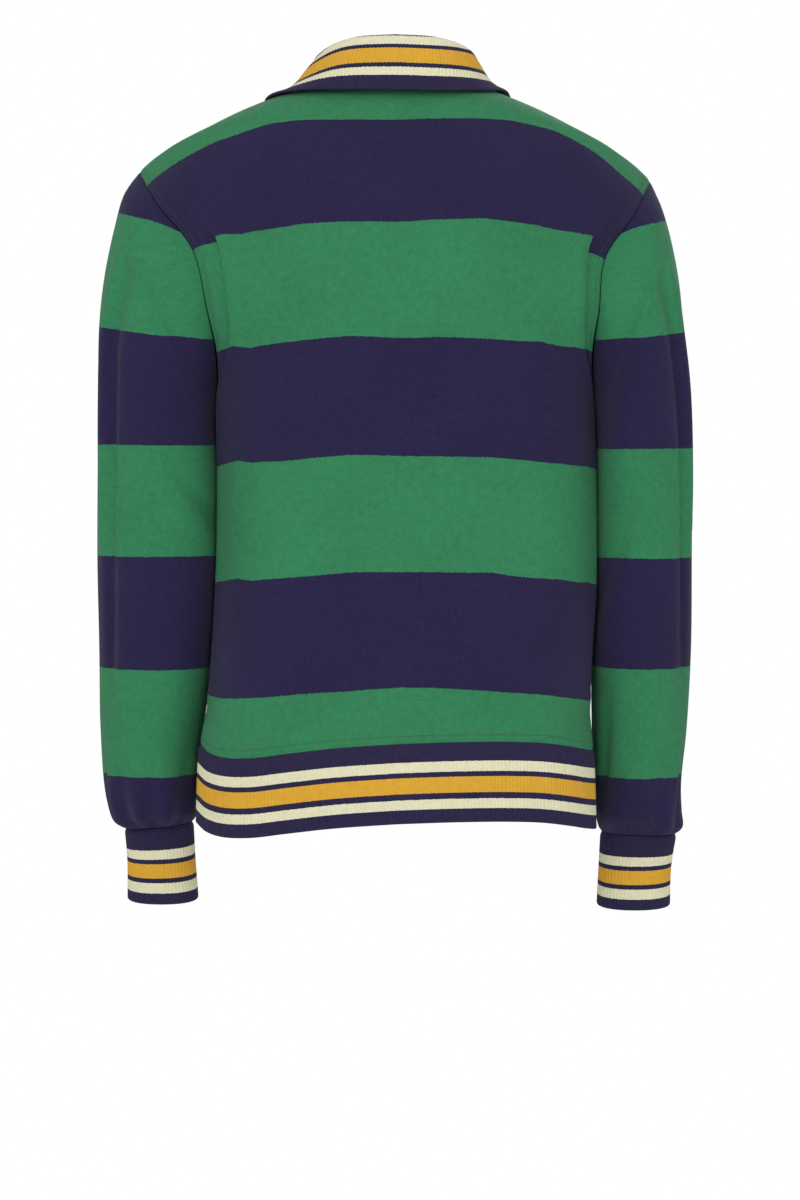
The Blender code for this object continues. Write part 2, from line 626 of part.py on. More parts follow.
def body_sheets(halves, wefts):
    back = Sheet("back", whole("back", halves))
    front = whole("front", halves)
    middle = front.shape[1] // 2
    return back, Sheet("front", front, slot=(slot_row(wefts), middle - 1, middle + 1))


def sleeve_sheet(name, side, halves):
    rows = slice(BODY_ROWS, BODY_ROWS + ARMHOLE_ROWS + 1)
    ring = armhole_ring(halves["back", side], halves["front", side], rows)
    grid, steps = sleeve_grid(side, ring)
    return Sheet(name, sleeve_folds(grid, steps, side)[::-1], closed=True)


def hem_band_sheet(halves):
    """The hem band: its upper row is the lower edge of both panels, and it closes into a ring."""
    levels = [level for level in TORSO["weft"] if level < 0]
    rows = [around_body(halves, 0)]
    for level in reversed(levels):
        shares = column_shares()
        below = {("back", side): half_row(level, side, False, shares)[None] for side in (1, -1)}
        fronts = {("front", side): half_row(level, side, True, front_shares(level))[None] for side in (1, -1)}
        rows.insert(0, around_body(below | fronts, 0))
    return Sheet("hem_band", np.array(rows), closed=True)


def around_body(halves, row):
    """One level of the body as a closed ring that goes to the right as seen from outside."""
    return np.concatenate([whole("back", halves)[row, :-1], whole("front", halves)[row, :-1]])


def cuff_sheet(name, side, sleeve):
    """A cuff whose upper row is the sleeve's lower edge."""
    shares = np.arange(sleeve.columns) / sleeve.columns
    rows = [sleeve.grid(sleeve.points)[0]]
    for step in CUFF["step"][1:]:
        ring = ring_of_arm(CUFF, step, side, shares)
        rows.insert(0, ring if side > 0 else ring[::-1])
    return Sheet(name, np.array(rows), closed=True)


def neck_line(halves):
    """The neck seam from the middle of the front round the wearer's right, the back and the left."""
    right = halves["front", -1][-1]
    left = halves["front", 1][-1]
    back = halves["back", 1][-1][::-1], halves["back", -1][-1]
    right_start = start_of_collar(right)
    left_end = start_of_collar(left)
    around_back = np.concatenate([back[0][:-1], back[1]])[::-1]
    return np.concatenate([right_start, right[1:-1], around_back, left[1:-1][::-1], left_end])


def start_of_collar(half):
    """The end of the collar's neck seam, beside the middle of the front."""
    share = 0.5 * COLLAR_GAP / abs(half[1][0] - half[0][0])
    return (half[0] + share * (half[1] - half[0]))[None]


def collar_sheet(halves):
    """The collar's face towards the shirt: up the stand, over the fold and down the leaf."""
    seam = neck_line(halves)
    middle = int(np.argmin(np.abs(seam[:, 0]) + 10 * (seam[:, 1] < 0)))
    along = lengths_along(seam)
    half = [along[middle] - along[0], along[-1] - along[middle]]
    rows = [seam] + [np.empty_like(seam) for _ in range(4)]
    for i in range(len(seam)):
        side = -1 if i < middle else 1
        share = abs(along[i] - along[middle]) / half[int(side > 0)]
        row = read(COLLAR, "share", share)
        fold = np.array([side * row["fold_x"], row["fold_y"], row["fold_z"]])
        edge = np.array([side * row["edge_x"], row["edge_y"], row["edge_z"]])
        at_side = float(smooth_step(share / LEAF_TURN))
        edge[0] += LEAF_SWAY * at_side * float(smooth_step((SWAY_ENDS - share) / SWAY_RUN))
        if side < 0:
            edge[2] -= LEAF_DROP * at_side
        out = unit(np.array([edge[0] - fold[0], edge[1] - fold[1], 0.0]))
        centre = fold - np.array([0, 0, RIB_CLOTH + FOLD_RADIUS])
        rows[1][i] = centre - FOLD_RADIUS * out
        rows[2][i] = centre + np.array([0, 0, FOLD_RADIUS])
        rows[3][i] = centre + FOLD_RADIUS * out
        rows[4][i] = edge
    return Sheet("collar", np.array(rows)[:, ::-1])


def placket_sheet(name, halves, wefts, depth):
    """A strip in the slot of the front, this far outside the front's own outer face."""
    first = slot_row(wefts)
    front = whole("front", halves)
    middle = front.shape[1] // 2
    columns = front[first:, middle - 1 : middle + 2].copy()
    inset = SEAM_GAP / (PLACKET_WIDTH / 2)
    columns[:, 0] += inset * (columns[:, 1] - columns[:, 0])
    columns[:, 2] += inset * (columns[:, 1] - columns[:, 2])
    columns[0] += 0.5 * SEAM_GAP * unit(columns[1, 1] - columns[0, 1])
    columns[-1] += 1.5 * SEAM_GAP * unit(columns[-2, 1] - columns[-1, 1])
    strip = Sheet(name, columns)
    strip.points = strip.points + depth * strip.normals
    return strip


def add_button(name, centre, axis, finish):
    """A button with a raised rim and four holes, whose face looks along the axis."""
    rim, well = BUTTON_RADIUS - BUTTON_RIM, BUTTON_WELL * BUTTON_THICKNESS
    mesh = bmesh.new()
    rings = [(BUTTON_RADIUS, 0.0), (BUTTON_RADIUS, BUTTON_THICKNESS), (rim, BUTTON_THICKNESS), (rim, well)]
    loops = [circle(mesh, 0, 0, radius, height, BUTTON_SIDES) for radius, height in rings]
    for low, high in zip(loops, loops[1:], strict=False):
        bridge(mesh, low, high)
    holes = []
    for k in range(4):
        x = BUTTON_HOLE_OFFSET * (1 if k in (0, 3) else -1)
        y = BUTTON_HOLE_OFFSET * (1 if k < 2 else -1)
        ends = [circle(mesh, x, y, BUTTON_HOLE_RADIUS, height, 5) for height in (well, 0.0)]
        bridge(mesh, *ends)
        holes.append(ends)
    fill(mesh, [loops[-1]] + [pair[0] for pair in holes])
    fill(mesh, [loops[0]] + [pair[1] for pair in holes])
    bmesh.ops.recalc_face_normals(mesh, faces=mesh.faces)
    across = unit(np.cross([0, 0, 1.0], axis))
    up = np.cross(axis, across)
    for vertex in mesh.verts:
        x, y, z = vertex.co
        vertex.co = centre + x * across + y * up + z * axis
    data = bpy.data.meshes.new(name)
    mesh.to_mesh(data)
    mesh.free()
    data.materials.append(finish)
    data.shade_smooth()
    data.set_sharp_from_angle(angle=math.radians(40))
    made = bpy.data.objects.new(name, data)
    bpy.context.scene.collection.objects.link(made)
    return made


def circle(mesh, x, y, radius, height, count):
    turns = [2 * math.pi * (k + 0.5) / count for k in range(count)]
    return [mesh.verts.new((x + radius * math.cos(a), y + radius * math.sin(a), height)) for a in turns]


def bridge(mesh, low, high):
    count = len(low)
    for k in range(count):
        j = (k + 1) % count
        mesh.faces.new((low[k], low[j], high[j], high[k]))


def fill(mesh, loops):
    """A flat face inside the first loop and outside the others."""
    edges = []
    for loop in loops:
        for a, b in zip(loop, loop[1:] + loop[:1], strict=True):
            edges.append(mesh.edges.get((a, b)) or mesh.edges.new((a, b)))
    bmesh.ops.triangle_fill(mesh, edges=edges, use_beauty=True)


def add_buttons(strip, finish):
    """Three buttons on the placket, each a little clear of its face."""
    middle = strip.grid(strip.points)[::-1, 1]
    normals = strip.grid(strip.normals)[::-1, 1]
    along = lengths_along(middle)
    for k, place in enumerate(BUTTON_PLACES):
        centre = np.array([np.interp(place, along, middle[:, n]) for n in range(3)])
        axis = unit(np.array([np.interp(place, along, normals[:, n]) for n in range(3)]))
        add_button(f"button_{k + 1}", centre + BUTTON_CLEARANCE * axis, axis, finish)


def clear_scene():
    for old in list(bpy.data.objects):
        bpy.data.objects.remove(old, do_unlink=True)


def main():
    clear_scene()
    jersey = material("hooped_jersey", (0.039, 0.227, 0.098), 0.85)
    rib = material("rib_knit", (0.029, 0.023, 0.065), 0.88)
    placket = material("placket_jersey", (0.026, 0.019, 0.067), 0.85)
    plastic = material("button_plastic", (0.020, 0.018, 0.040), 0.35)
    shares, wefts = column_shares(), torso_wefts()
    halves = body_halves(shares, wefts)
    back, front = body_sheets(halves, wefts)
    sleeves = [sleeve_sheet("sleeve_left", 1, halves), sleeve_sheet("sleeve_right", -1, halves)]
    bands = [
        hem_band_sheet(halves),
        cuff_sheet("cuff_left", 1, sleeves[0]),
        cuff_sheet("cuff_right", -1, sleeves[1]),
    ]
    collar = collar_sheet(halves)
    strip = placket_sheet("placket_top", halves, wefts, PLACKET_LIFT)
    under = placket_sheet("placket_under", halves, wefts, PLACKET_LIFT - PLACKET_CLOTH - SEAM_GAP)
    part_seams([back, front, *sleeves, *bands, collar])
    for sheet in (back, front, *sleeves):
        add_wall(sheet, CLOTH, jersey)
    for sheet in bands:
        add_ribbed_wall(sheet, rib)
    add_ribbed_wall(collar, rib, ribs_inside=True)
    add_wall(strip, PLACKET_CLOTH, placket)
    add_wall(under, PLACKET_CLOTH, placket)
    add_buttons(strip, plastic)


main()
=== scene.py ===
# %% [markdown]
# # A hooped polo shirt, from its cut to its ribs
# The shirt is heavy cotton jersey, cut as a back, a front and two sleeves. Its collar, cuffs and hem
# band are rib knitting. We build it the way it is worn, hollow and filled out, with nobody in it.
# Every piece is a surface that we work out from a short table of sections, so that a seam shared by
# two pieces is the same line on both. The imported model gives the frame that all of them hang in.

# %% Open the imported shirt
import math
from functools import partial

import bpy
import numpy as np
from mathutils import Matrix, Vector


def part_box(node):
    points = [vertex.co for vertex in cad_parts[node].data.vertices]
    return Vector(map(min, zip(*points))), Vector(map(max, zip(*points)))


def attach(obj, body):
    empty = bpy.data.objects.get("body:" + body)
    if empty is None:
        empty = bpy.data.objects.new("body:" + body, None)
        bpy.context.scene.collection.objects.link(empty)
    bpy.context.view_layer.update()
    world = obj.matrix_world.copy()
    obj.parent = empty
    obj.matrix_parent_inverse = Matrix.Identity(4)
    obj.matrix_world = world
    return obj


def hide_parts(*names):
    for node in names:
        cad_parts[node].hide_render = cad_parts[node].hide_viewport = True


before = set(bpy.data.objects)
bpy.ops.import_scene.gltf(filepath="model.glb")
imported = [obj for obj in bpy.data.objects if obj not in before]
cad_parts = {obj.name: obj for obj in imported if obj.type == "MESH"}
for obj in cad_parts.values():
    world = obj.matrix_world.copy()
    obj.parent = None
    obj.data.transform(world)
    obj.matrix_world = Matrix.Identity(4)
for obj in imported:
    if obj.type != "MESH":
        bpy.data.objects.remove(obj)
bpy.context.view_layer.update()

# %% [markdown]
# ## The camera first
# The photograph was taken from behind with a long lens, level with the lower back. One of its pixels
# covers 0.9 mm at the shoulders, so the lens follows from the camera's distance and the 1200 pixels
# of the picture's height. A vertical sensor fit keeps the framing whatever the width is.

# %% Set up the camera
PIXEL = 0.0009  # metres of the shirt that one pixel of the 800 x 1200 picture shows
PICTURE_HEIGHT = 1200
CAMERA_AWAY = 3.3
CAMERA_ACROSS = -0.0045
CAMERA_HEIGHT = -0.459
SENSOR = 36.0
FARTHEST_SEEN = 50


def add_object(name, data):
    made = bpy.data.objects.new(name, data)
    bpy.context.scene.collection.objects.link(made)
    return made


def add_camera():
    data = bpy.data.cameras.new("camera")
    data.sensor_fit = "VERTICAL"
    data.sensor_height = SENSOR
    data.lens = SENSOR * CAMERA_AWAY / (PICTURE_HEIGHT * PIXEL)
    data.clip_end = FARTHEST_SEEN
    camera = add_object("camera", data)
    camera.location = (CAMERA_ACROSS, CAMERA_AWAY, CAMERA_HEIGHT)
    camera.rotation_euler = (math.radians(90), 0, math.radians(180))
    bpy.context.scene.camera = camera
    return camera


camera = add_camera()
print("lens", round(camera.data.lens, 1), "mm")

# %% [markdown]
# ## Light and floor
# A catalogue picture is lit softly, and most of its light comes from the camera's side. A white world
# opens the shadows, a very wide soft box behind the camera fills the gaps between the sleeves and the
# body, and a smaller lamp from the upper left makes the folds readable. The floor lies where the
# wearer's feet would be, which is below the picture.

# %% Light the studio
FLOOR = -1.56
FLOOR_RADIUS, FLOOR_CORNERS = 2.9, 96
PAPER = (0.82, 0.82, 0.81, 1)
LAMPS = {  # where each lamp stands, its size and its power
    "key_lamp": ((1.7, 2.9, 1.5), 1.9, 30.0),
    "soft_box": ((0.2, 4.6, 0.5), 3.2, 70.0),
    "fill_lamp": ((-2.4, 2.2, 0.2), 2.2, 10.0),
    "front_lamp": ((-0.8, -3.0, 1.2), 2.4, 45.0),
}
SHIRT_MIDDLE = (0.0, 0.0, -0.33)
ROOM_LIGHT = 0.68  # light that the walls give back; the backdrop itself is seen pure white


def add_mesh(name, points, faces, material):
    """A smooth mesh piece of one material."""
    data = bpy.data.meshes.new(name)
    data.from_pydata(points.tolist(), [], faces)
    data.materials.append(material)
    data.shade_smooth()
    return add_object(name, data)


def bare_material(name, **settings):
    """A material, its tree and its shader, whose inputs are given by name with _ for a space."""
    made = bpy.data.materials.new(name)
    made.use_nodes = True
    shader = made.node_tree.nodes["Principled BSDF"]
    for label, value in settings.items():
        shader.inputs[label.replace("_", " ")].default_value = value
    return made, made.node_tree, shader


def add_lamp(name, at, size, power):
    """A round lamp that points at the shirt."""
    data = bpy.data.lights.new(name, "AREA")
    data.shape = "DISK"
    data.size = size
    data.energy = power
    lamp = add_object(name, data)
    lamp.location = at
    x, y, z = np.array(at) - SHIRT_MIDDLE
    lamp.rotation_euler = (math.atan2(math.hypot(x, y), z), 0, math.atan2(x, -y))


def add_floor():
    turns = np.arange(FLOOR_CORNERS) * 2 * math.pi / FLOOR_CORNERS
    rim = np.stack([FLOOR_RADIUS * np.cos(turns), FLOOR_RADIUS * np.sin(turns), FLOOR + 0 * turns], axis=1)
    paper, _, _ = bare_material("studio_paper", Base_Color=PAPER, Roughness=0.9)
    add_mesh("floor", rim, [list(range(FLOOR_CORNERS))], paper)


def add_world():
    world = bpy.data.worlds.new("studio")
    world.use_nodes = True
    tree = world.node_tree
    backdrop = tree.nodes["Background"]
    backdrop.inputs["Color"].default_value = (1.0, 1.0, 1.0, 1)
    seen = tree.nodes.new("ShaderNodeLightPath")
    strength = tree.nodes.new("ShaderNodeMapRange")
    strength.inputs["To Min"].default_value = ROOM_LIGHT
    strength.inputs["To Max"].default_value = 1.0
    tree.links.new(seen.outputs["Is Camera Ray"], strength.inputs["Value"])
    tree.links.new(strength.outputs[0], backdrop.inputs["Strength"])
    bpy.context.scene.world = world


for name, lamp in LAMPS.items():
    add_lamp(name, *lamp)
add_floor()
add_world()
bpy.context.scene.view_settings.view_transform = "Standard"
print(len(LAMPS), "lamps; the floor lies at", FLOOR, "m")

# %% [markdown]
# ## Curves through tables
# A maker's block is a few measurements and smooth lines through them. The tables below work the same
# way: each row is a level of the body or a ring of the sleeve, each column one measurement, and a
# cubic curve joins them. That is far easier to adjust than thousands of points.

# %% Read tables and draw smooth curves
FINE_SHARE = 240  # points used to measure a curve before it is divided evenly


def numbers(text):
    """A block of text as an array, a row for each line."""
    return np.array([line.split() for line in text.strip().splitlines()], float)


def table(text):
    """A short table as one array for each column that its first line names."""
    names, rows = text.strip().split("\n", 1)
    return dict(zip(names.split(), numbers(rows).T, strict=True))


def spline(knots, values, at):
    """A smooth curve through the values at the knots: cubic pieces, each slope from both neighbours."""
    knots = np.asarray(knots, float)
    values = np.asarray(values, float)
    at = np.asarray(at, float)
    run = np.diff(knots)
    wide = run.reshape(-1, *[1] * (values.ndim - 1))
    rise = np.diff(values, axis=0) / wide
    slopes = np.empty_like(values)
    slopes[0], slopes[-1] = rise[0], rise[-1]
    slopes[1:-1] = (rise[:-1] * wide[1:] + rise[1:] * wide[:-1]) / (wide[1:] + wide[:-1])
    piece = np.clip(np.searchsorted(knots, at, side="right") - 1, 0, len(run) - 1)
    t = ((at - knots[piece]) / run[piece]).reshape(at.shape + (1,) * (values.ndim - 1))
    step = run[piece].reshape(t.shape)
    return (
        (2 * t**3 - 3 * t**2 + 1) * values[piece]
        + (t**3 - 2 * t**2 + t) * step * slopes[piece]
        + (3 * t**2 - 2 * t**3) * values[piece + 1]
        + (t**3 - t**2) * step * slopes[piece + 1]
    )


def read(sections, knots, at):
    """Every column of a table at one place between its rows."""
    return {name: float(spline(sections[knots], column, at)) for name, column in sections.items()}


def smooth_step(x):
    x = np.clip(x, 0, 1)
    return x * x * (3 - 2 * x)


def unit(vectors):
    return vectors / np.maximum(np.linalg.norm(vectors, axis=-1, keepdims=True), 1e-12)


def between(x, rises, fades):
    """1 between two soft steps, each given as where it starts and how wide it is."""
    return smooth_step((x - rises[0]) / rises[1]) * (1 - smooth_step((x - fades[0]) / fades[1]))


def lengths_along(points):
    """The distance of each point from the first, along a line or down every column of a grid."""
    steps = np.cumsum(np.linalg.norm(np.diff(points, axis=0), axis=-1), axis=0)
    return np.concatenate([np.zeros_like(steps[:1]), steps])


def pick(places, along, values):
    """The values at these distances, between the points of a line that they are given for."""
    return np.stack([np.interp(places, along, column) for column in values.T], axis=-1)


def divide(points, shares):
    """Points at these shares of a polyline's length."""
    along = lengths_along(points)
    return pick(np.asarray(shares) * along[-1], along, points)


print("curve helpers ready")

# %% [markdown]
# ## The body's sections
# Each row is one level of the knitting, from the hem band up to the neck. The levels aren't flat:
# they sag towards the sides of the back and climb over the shoulders, exactly as the hoops do. Seen
# from above, a level is a superellipse, an oval with a setting for how square it is.

# %% Write down the body's sections
UNDERARM, TIP, NECK = 0.310, 0.566, 0.604
TORSO = table("""
 weft  edge_z back_x back_y front_x front_y spine_y spine_z chest_y chest_z square    sway bow  base
-0.07   -0.66 0.1795      0  0.1795       0   0.112  -0.653  -0.108  -0.661    2.5  -0.001   2     0
    0 -0.5895 0.1765      0  0.1765       0  0.1125 -0.5832 -0.1095 -0.5915    2.6 -0.0015   2     0
 0.05  -0.543   0.17      0    0.17       0   0.112  -0.532  -0.113  -0.542    2.7  -0.004   2     0
 0.15  -0.446  0.167      0   0.167       0   0.105  -0.433  -0.113  -0.442    2.8   -0.01   2     0
0.252  -0.344 0.1665      0  0.1665       0   0.108 -0.3315  -0.119   -0.34    2.8 -0.0105   2     0
 0.31 -0.2865 0.1675      0  0.1675       0   0.113 -0.2735  -0.123  -0.282    2.7  -0.009   2     0
0.354   -0.24 0.1675  0.042  0.1655  -0.045  0.1165  -0.229 -0.1245  -0.241    2.6 -0.0085 2.2     0
  0.4  -0.202 0.1735  0.062   0.167  -0.063  0.1185  -0.184  -0.124    -0.2    2.5  -0.007 2.4 0.002
0.457 -0.1487  0.183  0.061   0.174  -0.061   0.117  -0.128  -0.119  -0.158    2.4 -0.0035 2.6 0.008
 0.51  -0.109 0.2115  0.047   0.206  -0.046   0.107 -0.0755  -0.111  -0.129    2.3  -0.001 2.8 0.014
0.545 -0.0895  0.222  0.027    0.22  -0.027  0.0935 -0.0435 -0.1055  -0.114    2.3       0 2.8  0.03
 0.56 -0.0795  0.227  0.011  0.2265  -0.011  0.0875  -0.032  -0.103  -0.108    2.2       0 2.8  0.06
0.566 -0.0735 0.2295      0  0.2295       0   0.085 -0.0275  -0.102  -0.106    2.2       0 2.8 0.095
0.576 -0.0495  0.192      0   0.192       0   0.079 -0.0185  -0.099 -0.1005    2.2       0 2.8   0.1
0.586 -0.0255  0.151      0   0.151       0   0.073  -0.011  -0.097 -0.0955    2.2       0 2.6  0.08
0.596 -0.0085  0.112      0   0.112       0   0.067  -0.004  -0.094   -0.09    2.1       0 2.2  0.04
0.604   0.002  0.079      0   0.079       0   0.062  0.0025   -0.09  -0.085    2.1       0   2  0.01
""")
SHOULDER_DROP = 0.0085
DROP_FROM, DROP_OVER = 0.070, 0.130  # the drop grows from this far out, over this distance
DROP_TO_EDGE = 2  # the higher, the closer to a level's edge the drop stays
DROP_STARTS, DROP_RUN = 0.36, 0.10  # wefts over which a level comes to share the low shoulder's drop
SAG_FADES_AT = 0.100  # height above the hem seam where the sag has gone
WIDEST = 0.999  # keeps the end of a level from passing the oval's own end
# How far the lowest levels sag, from the middle of a panel (0) to its side (1)
SAG = table("""
share   left   right
    0 0.0012  0.0012
 0.24  0.005 -0.0009
 0.41 0.0092 -0.0016
 0.54 0.0124  -0.001
 0.68 0.0115  0.0019
 0.77 0.0076  0.0039
 0.86 0.0015  0.0048
    1 -0.002  0.0045
""")


def half_row(weft, side, front, shares):
    """Points of one level of the body, from the middle of the back or front (0) to its edge (1)."""
    at = read(TORSO, "weft", weft)
    edge_x, edge_y = (at["front_x"], at["front_y"]) if front else (at["back_x"], at["back_y"])
    if not UNDERARM < weft < TIP:
        edge_x, edge_y = at["back_x"], 0.0
    middle_y, middle_z = (at["chest_y"], at["chest_z"]) if front else (at["spine_y"], at["spine_z"])
    square = at["square"]
    base = at["base"] if front else -at["base"]
    depth = middle_y - base
    ratio = min((edge_y - base) / depth, WIDEST)
    reach = edge_x / (1 - ratio**square) ** (1 / square)
    turn = np.linspace(math.pi / 2, math.asin(ratio ** (square / 2)), FINE_SHARE)
    plan = np.stack(
        [reach * np.abs(np.cos(turn)) ** (2 / square), base + depth * np.abs(np.sin(turn)) ** (2 / square)],
        axis=1,
    )
    plan[0, 0] = 0.0
    plan[-1] = edge_x, edge_y
    plan = divide(plan, shares)
    shares = np.asarray(shares)
    z = middle_z + (at["edge_z"] - middle_z) * shares ** at["bow"]
    low = max(0.0, 1 - max(weft, 0) / SAG_FADES_AT)
    z = z - low * spline(SAG["share"], SAG["left" if side > 0 else "right"], shares)
    if side < 0:
        outer = shares**DROP_TO_EDGE * np.clip((plan[:, 0] - DROP_FROM) / DROP_OVER, 0, 1)
        z = z - SHOULDER_DROP * outer * smooth_step((weft - DROP_STARTS) / DROP_RUN)
    return np.stack([side * plan[:, 0] + at["sway"], plan[:, 1], z], axis=1)


print(len(TORSO["weft"]), "levels of the body")

# %% [markdown]
# ## The sleeves' sections
# A worn sleeve is a tube that starts at the armhole and hangs beside the body. Its first ring is the
# armhole itself, which tilts steeply, and the rings below turn level one by one. Near the cuff the
# tube narrows quickly, because far more cloth is sewn into the cuff than fits it.

# %% Write down the sleeves' and cuffs' sections
SLEEVE = table("""
step  out_z out_left out_right   in_z in_left in_right  mid_y half_y square
   1 -0.093    0.243     0.238 -0.296  0.1602   0.1785      0  0.068    2.1
   2 -0.123    0.252     0.247 -0.305    0.16   0.1787 -0.001  0.072    2.1
   3 -0.166    0.261     0.255 -0.314  0.1595   0.1788 -0.002  0.075    2.1
   4 -0.212    0.266    0.2593 -0.325  0.1588   0.1788 -0.003  0.075    2.2
   5  -0.27    0.267    0.2645 -0.345  0.1578   0.1788 -0.004 0.0735    2.3
   6  -0.34   0.2675     0.267 -0.378  0.1576   0.1788 -0.005   0.07    2.3
   7  -0.42    0.268    0.2672 -0.432  0.1585   0.1788 -0.007  0.065    2.3
   8   -0.5    0.267    0.2672 -0.503  0.1628   0.1775 -0.015   0.06    2.3
   9  -0.57   0.2672    0.2645  -0.57   0.173   0.1785 -0.028  0.057    2.3
  10  -0.62   0.2652    0.2603  -0.62   0.178   0.1805 -0.038  0.055    2.2
  11 -0.648    0.261     0.261 -0.648    0.18   0.1825 -0.043   0.05    2.2
  12 -0.664    0.256    0.2625 -0.662  0.1815   0.1845 -0.045   0.04    2.2
  13 -0.672    0.246     0.256  -0.67  0.1845    0.188 -0.046  0.028    2.2
""")
CUFF = table("""
step  out_z out_left out_right   in_z in_left in_right  mid_y half_y square
   0 -0.672    0.246     0.256  -0.67  0.1845    0.188 -0.046  0.028    2.2
   1 -0.701   0.2438    0.2515 -0.701   0.183   0.1865  -0.05 0.0275    2.2
   2 -0.734    0.244    0.2508 -0.734  0.1805    0.185 -0.055  0.028    2.2
""")


def lean(sections, at):
    """How steeply the arm slopes forward there, so that its rings lie square to it."""
    low, high = (read(sections, "step", at + d) for d in (0.3, -0.3))
    return (high["mid_y"] - low["mid_y"]) / max(high["in_z"] - low["in_z"], 0.01)


CUFF_SEAM_RISE = np.array([0.0050, 0.0090])  # how much higher the left cuff is sewn on, outside and inside
RISE_STEPS = 3  # rings of the sleeve over which that rise grows
CUFF_RISE = 0.0027  # how much higher the left cuff ends, and lower the right one
DROP_ENDS, DROP_STEPS = 5, 4  # rings over which a sleeve loses the low shoulder's drop


def ring_of_arm(sections, at, side, shares):
    """One ring of a sleeve or cuff: shares run from its outermost point over the back and round."""
    row = read(sections, "step", at)
    name = "left" if side > 0 else "right"
    ends = np.array([[side * row[f"{way}_{name}"], row["mid_y"], row[f"{way}_z"]] for way in ("out", "in")])
    down_cuff = at / CUFF["step"][-1]
    if sections is CUFF:
        ends[:, 2] += side * CUFF_RISE * down_cuff
    elif side < 0:
        ends[0, 2] -= SHOULDER_DROP * smooth_step((DROP_ENDS - at) / DROP_STEPS)
    if side > 0:
        near_seam = 1 - (down_cuff if sections is CUFF else (SLEEVE["step"][-1] - at) / RISE_STEPS)
        ends[:, 2] += CUFF_SEAM_RISE * smooth_step(near_seam)
    turn = np.linspace(0, 2 * math.pi, 2 * FINE_SHARE)
    waves = np.cos(turn), np.sin(turn)
    across, back = (np.sign(wave) * np.abs(wave) ** (2 / row["square"]) for wave in waves)
    ring = (ends[0] + ends[1]) / 2 + across[:, None] * (ends[0] - ends[1]) / 2
    ring[:, 1] += back * row["half_y"]
    ring[:, 2] -= back * row["half_y"] * lean(sections, at)
    return divide(ring, shares)


print(len(SLEEVE["step"]), "rings of a sleeve and", len(CUFF["step"]), "of a cuff")

# %% [markdown]
# ## Knitting as a shader
# Jersey shows columns of small V-shaped stitches. They are finer than anything worth modelling, so
# they go into a bump. The pattern needs coordinates that lie in the cloth and follow its folds, and
# each piece brings those as a UV map in metres: across the knitting, and up it. One node group draws
# the stitches, and a second one the mottling of yarn that has been washed and worn many times.

# %% Node helpers
CLOTH_MAP = "cloth"
FLOAT, VECTOR, COLOUR = "NodeSocketFloat", "NodeSocketVector", "NodeSocketColor"


def add_node(tree, kind, inputs=(), **settings):
    """A node with its settings and inputs, where an input is a value or another node's output."""
    node = tree.nodes.new(kind)
    for name, value in settings.items():
        setattr(node, name, value)
    for place, value in dict(inputs).items():
        if isinstance(value, bpy.types.NodeSocket):
            tree.links.new(value, node.inputs[place])
        else:
            node.inputs[place].default_value = value
    return node


def maths(tree, operation, *values):
    """The output of one Math node."""
    return add_node(tree, "ShaderNodeMath", enumerate(values), operation=operation).outputs[0]


def noise(tree, place, scale, detail=2.0, roughness=0.5):
    """Soft noise between 0 and 1."""
    inputs = {"Vector": place, "Scale": scale, "Detail": detail, "Roughness": roughness}
    return add_node(tree, "ShaderNodeTexNoise", inputs).outputs["Fac"]


def blend(tree, share, first, second):
    """The first colour where share is 0, the second where it is 1."""
    return add_node(tree, "ShaderNodeMix", {0: share, 6: first, 7: second}, data_type="RGBA").outputs[2]


def new_group(name, inputs, outputs):
    """A node group with named sockets, each (name, kind) or (name, kind, default), and both its ends."""
    group = bpy.data.node_groups.new(name, "ShaderNodeTree")
    for label, kind, *value in inputs:
        socket = group.interface.new_socket(name=label, in_out="INPUT", socket_type=kind)
        if value:
            socket.default_value = value[0]
    for label, kind in outputs:
        group.interface.new_socket(name=label, in_out="OUTPUT", socket_type=kind)
    return group, group.nodes.new("NodeGroupInput").outputs, group.nodes.new("NodeGroupOutput").inputs


def use_group(tree, group, **inputs):
    """The outputs of a placed node group, whose inputs are given by name."""
    node = tree.nodes.new("ShaderNodeGroup")
    node.node_tree = group
    for name, value in inputs.items():
        if isinstance(value, bpy.types.NodeSocket):
            tree.links.new(value, node.inputs[name])
        else:
            node.inputs[name].default_value = value
    return node.outputs


print("node helpers ready")

# %% [markdown]
# ## Stitches and yarn
# A jersey stitch seen from its face is a V. The legs of all the Vs in a column form two slanting
# lines, so the distance from the middle of a column shifts the courses, and a sine across each leg
# rounds it. Dyed cotton is never even either. Noise at three sizes gives the grain of its fibres,
# their mottling and the soft patches that washing leaves.

# %% Draw the stitches of the jersey
LINT = (0.55, 0.55, 0.52, 1)
FULL_TURN = 2 * math.pi


